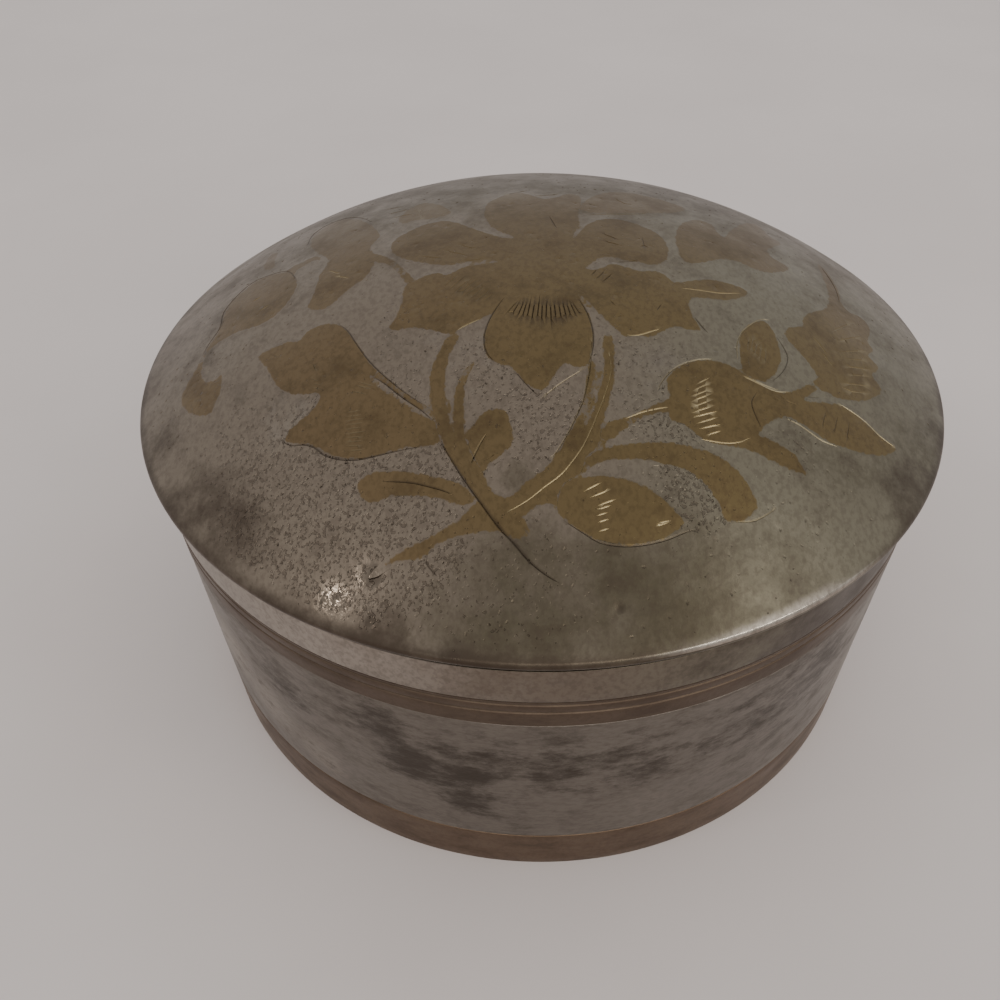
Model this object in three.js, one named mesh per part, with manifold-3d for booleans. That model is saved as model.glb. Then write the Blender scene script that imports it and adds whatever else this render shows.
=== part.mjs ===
// Round pewter trinket box: a cup with an inner collar, a domed lift-off lid, brass bands let into
// the lid rim and the foot, and a flower spray of brass plates let into the dome.
// Millimetres, +Z up, origin under the middle of the foot.
import * as THREE from 'three';
import { mergeVertices } from 'three/addons/utils/BufferGeometryUtils.js';
import Module from 'manifold-3d';

// Overall form
const lipRadius = 55;
const domeRise = 17.4;
const domePower = 2.34;
const bodyHeight = 34.3;
const lidBandHeight = 5.1;
const skirtHeight = 8.3;
const footBandHeight = 7.8;
const sideSlope = 0.05;

// Lid edge: a thin lip over a shadow groove, a fine bead and a second groove
const lipOverhang = 1.1;
const lipThickness = 0.8;
const rimGrooveHeight = 0.5;
const rimGrooveDepth = 0.5;
const beadHeight = 0.7;

// Thicknesses
const bandThickness = 0.8;
const inlayThickness = 0.8;
const pewterBehind = 1.1;
const floorThickness = 2;
const collarWall = 1.1;
const collarRise = 7;
const collarDrop = 3;
const baseRecess = 1;
const footRingWidth = 3.6;

// Two engraved lines round the lid band, measured down from its top edge
const bandLineDrops = [0.6, 2.1];
const bandLineWidth = 0.5;
const bandLineDepth = 0.25;

// Clearances
const fitGap = 0.3;
const seamGap = 0.3;

// Facets
const segments = 48;
const domeRings = 5;
const longestMiter = 4;

// Sizes that follow
const bandSeat = bandThickness + fitGap;
const wall = bandSeat + pewterBehind;
const domeWall = inlayThickness + fitGap + pewterBehind;
const lidBase = bodyHeight + seamGap;
const bandTop = bodyHeight + lidBandHeight;
const lipHeight = bandTop + skirtHeight;
const bodyFloor = baseRecess + floorThickness;
const sideRadius = (z) => lipRadius - lipOverhang - sideSlope * (lipHeight - z);
const lidBore = sideRadius(lidBase) - wall;
const collarRadius = lidBore - fitGap;

const pewter = new THREE.MeshStandardMaterial({ color: 0x8f877c, roughness: 0.42, metalness: 0.9 });
const bandBrass = new THREE.MeshStandardMaterial({ color: 0x6b5340, roughness: 0.4, metalness: 0.9 });
const inlayBrass = new THREE.MeshStandardMaterial({ color: 0x7b6234, roughness: 0.4, metalness: 0.9 });

const wasm = await Module();
wasm.setup();

function toSolid(geometry) {
  const bare = geometry.clone();
  bare.deleteAttribute('normal');
  bare.deleteAttribute('uv');
  const merged = mergeVertices(bare, 1e-4);
  return new wasm.Manifold(new wasm.Mesh({
    numProp: 3,
    vertProperties: new Float32Array(merged.attributes.position.array),
    triVerts: new Uint32Array(merged.index.array),
  }));
}

function toMesh(name, solid, material) {
  const { vertProperties, triVerts } = solid.getMesh();
  const geometry = new THREE.BufferGeometry();
  geometry.setAttribute('position', new THREE.BufferAttribute(vertProperties, 3));
  geometry.setIndex(new THREE.BufferAttribute(triVerts, 1));
  geometry.computeVertexNormals();
  const mesh = new THREE.Mesh(geometry, material);
  mesh.name = name;
  return mesh;
}

const unionOf = (solids) => solids.reduce((joined, solid) => joined.add(solid));

// Profiles run up the outside and back down the inside, as [radius, height]
function turned(profile) {
  const points = profile.map(([radius, z]) => new THREE.Vector2(radius, z));
  const geometry = new THREE.LatheGeometry(points, segments);
  geometry.rotateX(Math.PI / 2);
  return toSolid(geometry);
}

const closed = (profile) => [...profile, profile[0]];

// Dome
const domeHeight = (radius) => lipHeight + domeRise * (1 - (radius / lipRadius) ** domePower);

function domeLine(toRadius, lift) {
  const line = [];
  for (let ring = 0; ring <= domeRings; ring += 1) {
    const radius = toRadius * Math.sin((ring / domeRings) * (Math.PI / 2));
    line.push([radius, domeHeight(radius) + lift]);
  }
  return line;
}

function domeLayer(lower, upper) {
  const under = domeLine(lipRadius, lower);
  const over = domeLine(lipRadius, upper).reverse();
  return turned([...under, ...over]);
}

// Flower spray: each plate is one or more outlines that run into each other, in hundredths of the
// lip radius, x to the right and y to the back
const spray = {
  inlay_flower: [
    [[1, -49], [-1, -48], [-5.5, -42.5], [-9.5, -41], [-11.5, -34.5], [-10, -26.5], [-3, -14.5],
      [5, -14.5], [8, -18], [10, -23.5], [12, -35.5], [10.5, -41.5], [8.5, -42.5], [6, -41.5]],
    [[-10, -26.5], [-18, -32.5], [-33, -28.5], [-31, -22], [-30, -13], [-23.5, -10], [-21, -11],
      [-13.5, -7.5], [-4, -7], [-4, -16.5]],
    [[-9, -7], [-13.5, -5.5], [-22, -7], [-29, -3.5], [-35, 2], [-36, 6], [-35, 10], [-29.5, 15],
      [-26, 16], [-22.5, 16], [-8.5, 4.5], [-5.5, 4], [-2, -0.5], [-3, -8.5]],
    [[-6, 4.5], [-10.5, 9.5], [-13, 14], [-14, 20], [-13, 26], [-8, 33], [-4.5, 33.5], [1.5, 28],
      [7.5, 32.5], [10.5, 31.5], [10, 12], [8, -1.5], [-4.5, -1.5]],
    [[8.5, 4.5], [14.5, 15], [18.5, 16.5], [22, 16], [28.5, 11], [30.5, 7], [31, 1.5], [29.5, -3.5],
      [26.5, -5.5], [17.5, -3.5], [14.5, -4.5], [10.5, -9], [5, -7], [5, 0.5]],
    [[10.5, -9], [12.5, -10], [17, -7], [23.5, -9], [27, -8], [31, -12], [40.5, -8], [47, -8.5],
      [49, -10], [42, -15.5], [35, -17], [34, -19.5], [35.5, -27.5], [30, -28], [24.5, -32.5],
      [19, -33], [9, -19.5], [5, -16.5], [5, -8]],
    [[-6.5, 4.5], [1.5, 7.5], [8.5, 4.5], [11, -8.5], [9.5, -19.5], [5, -21.5], [-6, -20.5], [-8, -11]],
  ],
  inlay_stems: [
    [[10.5, -42], [9, -53.5], [2, -66], [-3.5, -71], [-11, -72.5], [-16, -76], [-27.5, -80.5],
      [-32.5, -84.5], [-22, -82], [-18, -80], [-6, -78.5], [1, -73.5], [4, -74], [5, -69.5], [8.5, -67],
      [10.5, -60], [9.5, -57], [12.5, -42.5], [11.5, -40.5]],
    [[15.5, -32.5], [14.5, -33.5], [14, -43], [12.5, -50.5], [8.5, -60], [8.5, -64.5], [12.5, -61],
      [15.5, -46.5], [16.5, -38.5]],
    [[-19.5, -33.5], [-21.5, -39.5], [-22.5, -47], [-19, -59.5], [-7.5, -77], [-3, -81], [1.5, -82.5],
      [1, -79], [-9, -70.5], [-14, -60], [-15.5, -60], [-17, -57.5], [-18.5, -51], [-19, -42.5],
      [-17, -33.5]],
    [[-13.5, -41], [-17, -47.5], [-16.5, -57], [-16, -60], [-14.5, -60], [-15, -49]],
  ],
  inlay_left_leaf: [
    [[-64.5, -27], [-60.5, -25], [-54, -25.5], [-51.5, -23], [-49, -22.5], [-46, -23], [-43.5, -25.5],
      [-37, -36.5], [-35.5, -43], [-25, -52.5], [-20, -56], [-19, -59.5], [-22.5, -61], [-35.5, -61.5],
      [-42, -59.5], [-46.5, -56], [-52, -54], [-53, -53], [-52.5, -51], [-48, -48], [-46.5, -44.5],
      [-56.5, -39]],
    [[-39.5, -32.5], [-31.5, -43.5], [-22, -52.5], [-19.5, -57.5], [-22, -53.5], [-37, -41]],
  ],
  inlay_small_leaf: [
    [[-14.5, -60], [-10.5, -54], [-7, -53.5], [-4.5, -60.5], [-9, -65], [-10, -68]],
  ],
  inlay_curl_leaf: [
    [[-35.5, -67.5], [-34, -65], [-25.5, -65.5], [-14, -69.5], [-12, -72.5], [-14, -73.5],
      [-23, -70.5], [-33, -70.5]],
  ],
  inlay_lens_leaf: [
    [[4.5, -69.5], [12, -67.5], [18.5, -67.5], [24, -69.5], [29, -74.5], [21.5, -79], [11.5, -79],
      [5, -75.5], [4, -73.5]],
  ],
  inlay_long_leaf: [
    [[9, -64], [13.5, -61.5], [21, -59.5], [33, -59], [39.5, -61.5], [44, -68.5], [42.5, -70.5],
      [37.5, -72.5], [34.5, -67], [29.5, -64], [18, -63.5], [14, -64], [8, -67]],
  ],
  inlay_right_bud: [
    [[27, -46.5], [27, -44], [31, -39], [38, -36.5], [41, -36.5], [51, -41], [54, -40], [60, -35.5],
      [61.5, -36], [58, -40.5], [65.5, -38.5], [68.5, -38.5], [79, -44], [75.5, -47.5], [66.5, -50],
      [62.5, -50], [53, -47], [50, -48.5], [45.5, -53.5], [36.5, -57], [27.5, -53.5]],
    [[36.5, -57], [45.5, -53], [53.5, -55], [56, -59]],
    [[12, -61.5], [14, -56], [28.5, -48.5], [28, -52], [21, -54.5]],
  ],
  inlay_oval_bud: [
    [[44.5, -32], [46.5, -24], [51.5, -19.5], [54, -28], [51.5, -35.5], [49, -39], [44, -38]],
  ],
  inlay_fan_flower: [
    [[56, -21.5], [61, -16.5], [64, -10], [70, -4], [72.5, 7], [73.5, 22.5], [75, 19.5], [75.5, 14],
      [75, 0.5], [77, -1], [79.5, -1], [81, -2.5], [81, -6.5], [78.5, -11.5], [79.5, -14],
      [77.5, -17.5], [79.5, -21], [77, -24], [78.5, -27.5], [74, -33.5], [69.5, -36], [63.5, -36.5],
      [60, -35.5], [62, -33]],
  ],
  inlay_right_spray: [
    [[33.5, 8.5], [34.5, 14.5], [39.5, 23.5], [42.5, 24.5], [44.5, 23], [46.5, 16.5], [56.5, 36],
      [59.5, 38], [62, 29], [64, 27.5], [58, 16.5], [59, 12], [62.5, 9.5], [59, 4.5], [54.5, 2],
      [45.5, 3.5], [37, -2], [34.5, -2]],
  ],
  inlay_left_spray: [
    [[-60, 21], [-60.5, 27.5], [-59, 32.5], [-56.5, 35.5], [-52.5, 35], [-47.5, 30], [-40.5, 17],
      [-39.5, 12], [-41, 6.5], [-39.5, 2.5], [-40, -5], [-41.5, -8], [-49, -16.5], [-52, -16],
      [-54, -14], [-52, 5.5], [-58.5, 16.5]],
    [[-41, 3.5], [-34.5, -2], [-28, -13.5], [-29, -14], [-36, -3], [-40, 0]],
  ],
  inlay_left_bud: [
    [[-63.5, 7], [-58.5, -2], [-60, -10.5], [-62, -13.5], [-65, -15], [-75, -14.5], [-79.5, -17],
      [-79, -24.5], [-77, -27.5], [-74.5, -28], [-74, -25], [-72.5, -28.5], [-71.5, -33], [-73, -39],
      [-76.5, -38.5], [-83, -32.5], [-84, -28], [-79, -9.5], [-78.5, 3], [-73.5, 9], [-70, 9.5]],
    [[-64.5, 6.5], [-62.5, 9], [-56.5, 11], [-52.5, 8.5], [-52.5, 6], [-55.5, 7.5], [-58.5, 7.5],
      [-60.5, 5.5], [-61.5, 2]],
  ],
  inlay_comma_leaf: [
    [[-72, 17.5], [-72.5, 28], [-70, 26], [-68.5, 14.5], [-70, 14]],
  ],
  inlay_back_left_leaf: [
    [[-36.5, 21], [-33, 30], [-30.5, 32], [-27, 29.5], [-22.5, 21], [-25, 19], [-34, 18]],
  ],
  inlay_back_right_leaf: [
    [[10.5, 22.5], [13, 29.5], [16, 34.5], [20, 38], [24.5, 39], [28.5, 38], [33, 36.5], [39, 32],
      [35.5, 27.5], [26, 22.5], [15.5, 19.5], [12.5, 20]],
  ],
};

const onPlan = ([x, y]) => new THREE.Vector2(x, y).multiplyScalar(lipRadius / 100);

// Moves every side of an anticlockwise outline out by the distance, with long points cut short
function grown(points, distance) {
  const outward = (from, to) => {
    const along = to.clone().sub(from).normalize();
    return new THREE.Vector2(along.y, -along.x);
  };
  return points.map((point, index) => {
    const before = points[(index + points.length - 1) % points.length];
    const after = points[(index + 1) % points.length];
    const first = outward(before, point);
    const second = outward(point, after);
    const stretch = Math.min(1 / (1 + first.dot(second)), longestMiter);
    return first.add(second).multiplyScalar(distance * stretch).add(point);
  });
}

function prism(points) {
  const geometry = new THREE.ExtrudeGeometry(new THREE.Shape(points), {
    depth: domeRise * 2,
    bevelEnabled: false,
  });
  geometry.translate(0, 0, lipHeight - domeRise / 2);
  return toSolid(geometry);
}

const anticlockwise = (points) => (THREE.ShapeUtils.isClockWise(points) ? [...points].reverse() : points);

// Plates fill the top layer of the dome, each clear of the ones before it
const plateLayer = domeLayer(-inlayThickness, 0);
const recessLayer = domeLayer(-inlayThickness - fitGap, fitGap);
const plates = {};
let recess = null;
for (const [name, outlines] of Object.entries(spray)) {
  const ordered = outlines.map((outline) => anticlockwise(outline.map(onPlan)));
  const shape = unionOf(ordered.map(prism));
  const opening = unionOf(ordered.map((points) => prism(grown(points, fitGap))));
  const plate = plateLayer.intersect(shape);
  plates[name] = recess ? plate.subtract(recess) : plate;
  recess = recess ? recess.add(opening) : opening;
}

// Lid: dome, lip, bead and skirt over a rebate for the band
function lid() {
  const rimRadius = lipRadius - lipOverhang;
  const grooveRadius = rimRadius - rimGrooveDepth;
  const lipUnder = lipHeight - lipThickness;
  const beadTop = lipUnder - rimGrooveHeight;
  const beadUnder = beadTop - beadHeight;
  const skirtTop = beadUnder - rimGrooveHeight;
  const seatRadius = sideRadius(lidBase) - bandSeat;
  const shell = turned([
    ...domeLine(lidBore, -domeWall),
    [lidBore, lidBase],
    [seatRadius, lidBase],
    [seatRadius, bandTop],
    [sideRadius(bandTop), bandTop],
    [sideRadius(skirtTop), skirtTop],
    [grooveRadius, skirtTop],
    [grooveRadius, beadUnder],
    [rimRadius, beadUnder],
    [rimRadius, beadTop],
    [grooveRadius, beadTop],
    [grooveRadius, lipUnder],
    [lipRadius, lipUnder],
    ...domeLine(lipRadius, 0).reverse(),
  ]);
  return shell.subtract(recessLayer.intersect(recess));
}

// Lid band: flush with the side, with two engraved lines
function lidBand() {
  const top = bandTop - fitGap;
  const inner = sideRadius(lidBase) - bandThickness;
  const lines = bandLineDrops.flatMap((drop) => {
    const middle = bandTop - drop;
    return [
      [sideRadius(middle), middle + bandLineWidth / 2],
      [sideRadius(middle) - bandLineDepth, middle],
      [sideRadius(middle), middle - bandLineWidth / 2],
    ];
  });
  return turned(closed([
    [inner, lidBase],
    [sideRadius(lidBase), lidBase],
    ...lines.reverse(),
    [sideRadius(top), top],
    [inner, top],
  ]));
}

// Body: cup with a recessed base, a rebate for the foot band and a collar that the lid slides over
function body() {
  const inside = (z) => sideRadius(z) - wall;
  const collarFoot = bodyHeight - collarDrop;
  const collarTop = bodyHeight + collarRise;
  const collarInner = collarRadius - collarWall;
  const seatRadius = sideRadius(0) - bandSeat;
  const recessRadius = seatRadius - footRingWidth;
  return turned([
    [0, baseRecess],
    [recessRadius, baseRecess],
    [recessRadius, 0],
    [seatRadius, 0],
    [seatRadius, footBandHeight],
    [sideRadius(footBandHeight), footBandHeight],
    [sideRadius(bodyHeight), bodyHeight],
    [collarRadius, bodyHeight],
    [collarRadius, collarTop],
    [collarInner, collarTop],
    [collarInner, collarFoot],
    [inside(collarFoot), collarFoot],
    [inside(bodyFloor), bodyFloor],
    [0, bodyFloor],
  ]);
}

function footBand() {
  const inner = sideRadius(0) - bandThickness;
  const top = footBandHeight - fitGap;
  return turned(closed([
    [inner, 0],
    [sideRadius(0), 0],
    [sideRadius(top), top],
    [inner, top],
  ]));
}

const box = new THREE.Group();
box.add(toMesh('box_body', body(), pewter));
box.add(toMesh('foot_band', footBand(), bandBrass));
box.add(toMesh('lid', lid(), pewter));
box.add(toMesh('lid_band', lidBand(), bandBrass));
for (const [name, plate] of Object.entries(plates)) box.add(toMesh(name, plate, inlayBrass));

export default box;
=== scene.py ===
"""Looks of a round pewter trinket box: pitted pewter cup and domed lid, brown brass bands, and a
flower spray of engraved brass plates let into the dome. Meshes are worked out in millimetres."""
import math

import bpy
import numpy as np
from mathutils import Matrix, Vector, noise
from mathutils.geometry import delaunay_2d_cdt


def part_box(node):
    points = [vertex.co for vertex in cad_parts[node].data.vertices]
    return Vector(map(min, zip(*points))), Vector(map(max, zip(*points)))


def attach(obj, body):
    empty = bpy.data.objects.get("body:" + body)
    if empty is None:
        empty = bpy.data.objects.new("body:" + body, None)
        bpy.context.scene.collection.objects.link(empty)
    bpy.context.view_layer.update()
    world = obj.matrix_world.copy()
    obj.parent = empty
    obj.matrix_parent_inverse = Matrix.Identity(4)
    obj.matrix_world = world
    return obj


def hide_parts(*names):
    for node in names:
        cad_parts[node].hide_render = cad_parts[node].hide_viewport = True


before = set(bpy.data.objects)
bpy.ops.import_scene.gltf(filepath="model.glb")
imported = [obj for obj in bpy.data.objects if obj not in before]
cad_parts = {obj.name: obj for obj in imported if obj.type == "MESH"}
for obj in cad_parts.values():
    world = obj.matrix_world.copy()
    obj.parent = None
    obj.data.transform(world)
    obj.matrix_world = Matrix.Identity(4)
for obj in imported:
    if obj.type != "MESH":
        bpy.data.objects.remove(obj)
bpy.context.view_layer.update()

MM = 0.001

# Sizes from the parts of model.glb
LIP_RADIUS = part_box("lid")[1].x / MM
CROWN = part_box("inlay_flower")[1].z / MM
LID_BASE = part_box("lid")[0].z / MM
COLLAR_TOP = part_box("box_body")[1].z / MM
BAND_INNER_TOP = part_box("lid_band")[1].z / MM
FOOT_INNER_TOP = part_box("foot_band")[1].z / MM

# Sizes that the solids are built from
DOME_RISE = 17.4
DOME_POWER = 2.34
SIDE_SLOPE = 0.05
LIP_OVERHANG = 1.1
LIP_THICKNESS = 0.8
RIM_GROOVE = 0.5
BEAD_HEIGHT = 0.7
BAND_THICKNESS = 0.8
INLAY_THICKNESS = 0.8
PEWTER_BEHIND = 1.1
FIT_GAP = 0.3
COLLAR_WALL = 1.1
COLLAR_RISE = 7.0
COLLAR_DROP = 3.0
BASE_RECESS = 1.0
FLOOR_THICKNESS = 2.0
FOOT_RING_WIDTH = 3.6
BAND_LINE_DROPS = (0.6, 2.1)

LIP_HEIGHT = CROWN - DOME_RISE
BAND_TOP = BAND_INNER_TOP + FIT_GAP
FOOT_TOP = FOOT_INNER_TOP + FIT_GAP
BODY_HEIGHT = COLLAR_TOP - COLLAR_RISE
BAND_SEAT = BAND_THICKNESS + FIT_GAP
WALL = BAND_SEAT + PEWTER_BEHIND
DOME_WALL = INLAY_THICKNESS + FIT_GAP + PEWTER_BEHIND

# Fineness and fit of the looks
TURN_STEPS = 288
CURVE_STEPS = 3
GRID_STEP = 0.1
LOOSE_STEP = 1.3
SHARP_DEGREES = 16
HAIRLINE = 0.04
INLAY_GAP = 0.005
PLATE_CLEARANCE = 0.02
SEAM_REACH = 0.5
SPAN_MARGIN = 1
STROKE_MARGIN = 0.5
FAR = 1e9
LIP_ROUND = 0.8
RIM = LIP_RADIUS - 1.2

# Pits: tries to a square mm, least spacing, and length, width and depth as shares of the size
PITS_TRIED, PIT_SPACING, PIT_CORNERS = 2.4, 0.46, 6
PIT_LONG, PIT_NARROW, PIT_DEEP = 1.35, 0.8, 0.42
PIT_SEED, DENT_SEED = 11, 5

# Radii of rounded edges, and the longest stretch of a turned profile left in one piece
LID_EDGE, BODY_EDGE, FOOT_EDGE, BAND_EDGE = 0.12, 0.15, 0.2, 0.07
LID_STRETCH, BODY_STRETCH, BAND_STRETCH = 1.5, 1.4, 1.0
BAND_LINE = 0.2

# Soft unevenness: how deep, and the size of its waves
BODY_WEAR, FOOT_WEAR = (0.08, 12), (0.05, 9)
DOME_WAVE, WAVE_SIZE, WAVE_FADE = 0.07, 11, 6

# Depths at which grooves, pits and dents are full of dirt, and at which a cut's painted glint is full
GROOVE_DIRT, PIT_DIRT, DENT_DIRT, FULL_PAINTED_GLINT = 0.07, 0.12, 0.25, 0.05
PLATE_PIT_SHARE = 0.6

# Stretch of the lip that gets a painted highlight, in degrees round the axis
HIGHLIGHT_MIDDLE, HIGHLIGHT_REACH = -61, 14


def side_radius(z):
    return LIP_RADIUS - LIP_OVERHANG - SIDE_SLOPE * (LIP_HEIGHT - z)


def dome_height(radius):
    share = np.clip(np.asarray(radius, float) / LIP_RADIUS, 0, None)
    return LIP_HEIGHT + DOME_RISE * (1 - share ** DOME_POWER)


def on_plan(points):
    """Millimetres from hundredths of the lip radius."""
    return np.array(points, float) * LIP_RADIUS / 100


def knots(row):
    """Places in hundredths of the lip radius from a row of x and y in thousandths."""
    return np.array(row, float).reshape(-1, 2) / 10


def on_dome(x, y):
    """A place on the dome from hundredths of the lip radius."""
    px, py = on_plan((x, y))
    return px, py, float(dome_height(math.hypot(px, py)))


def spline(places, closed=False):
    """Centripetal Catmull-Rom curve through the places."""
    points = [np.array(place, float) for place in places]
    if closed:
        points = [points[-1], *points, points[0], points[1]]
    else:
        points = [2 * points[0] - points[1], *points, 2 * points[-1] - points[-2]]
    curve = []
    for a, b, c, d in zip(points, points[1:], points[2:], points[3:]):
        spans = [max(np.linalg.norm(q - p), 1e-6) ** 0.5 for p, q in ((a, b), (b, c), (c, d))]
        t1, t2, t3 = np.cumsum(spans)
        for t in np.linspace(t1, t2, CURVE_STEPS, endpoint=False):
            ab = a + (b - a) * t / t1
            bc = b + (c - b) * (t - t1) / (t2 - t1)
            cd = c + (d - c) * (t - t2) / (t3 - t2)
            abc = ab + (bc - ab) * t / t2
            bcd = bc + (cd - bc) * (t - t1) / (t3 - t1)
            curve.append(abc + (bcd - abc) * (t - t1) / (t2 - t1))
    return np.array(curve if closed else curve + [points[-2]])


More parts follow.
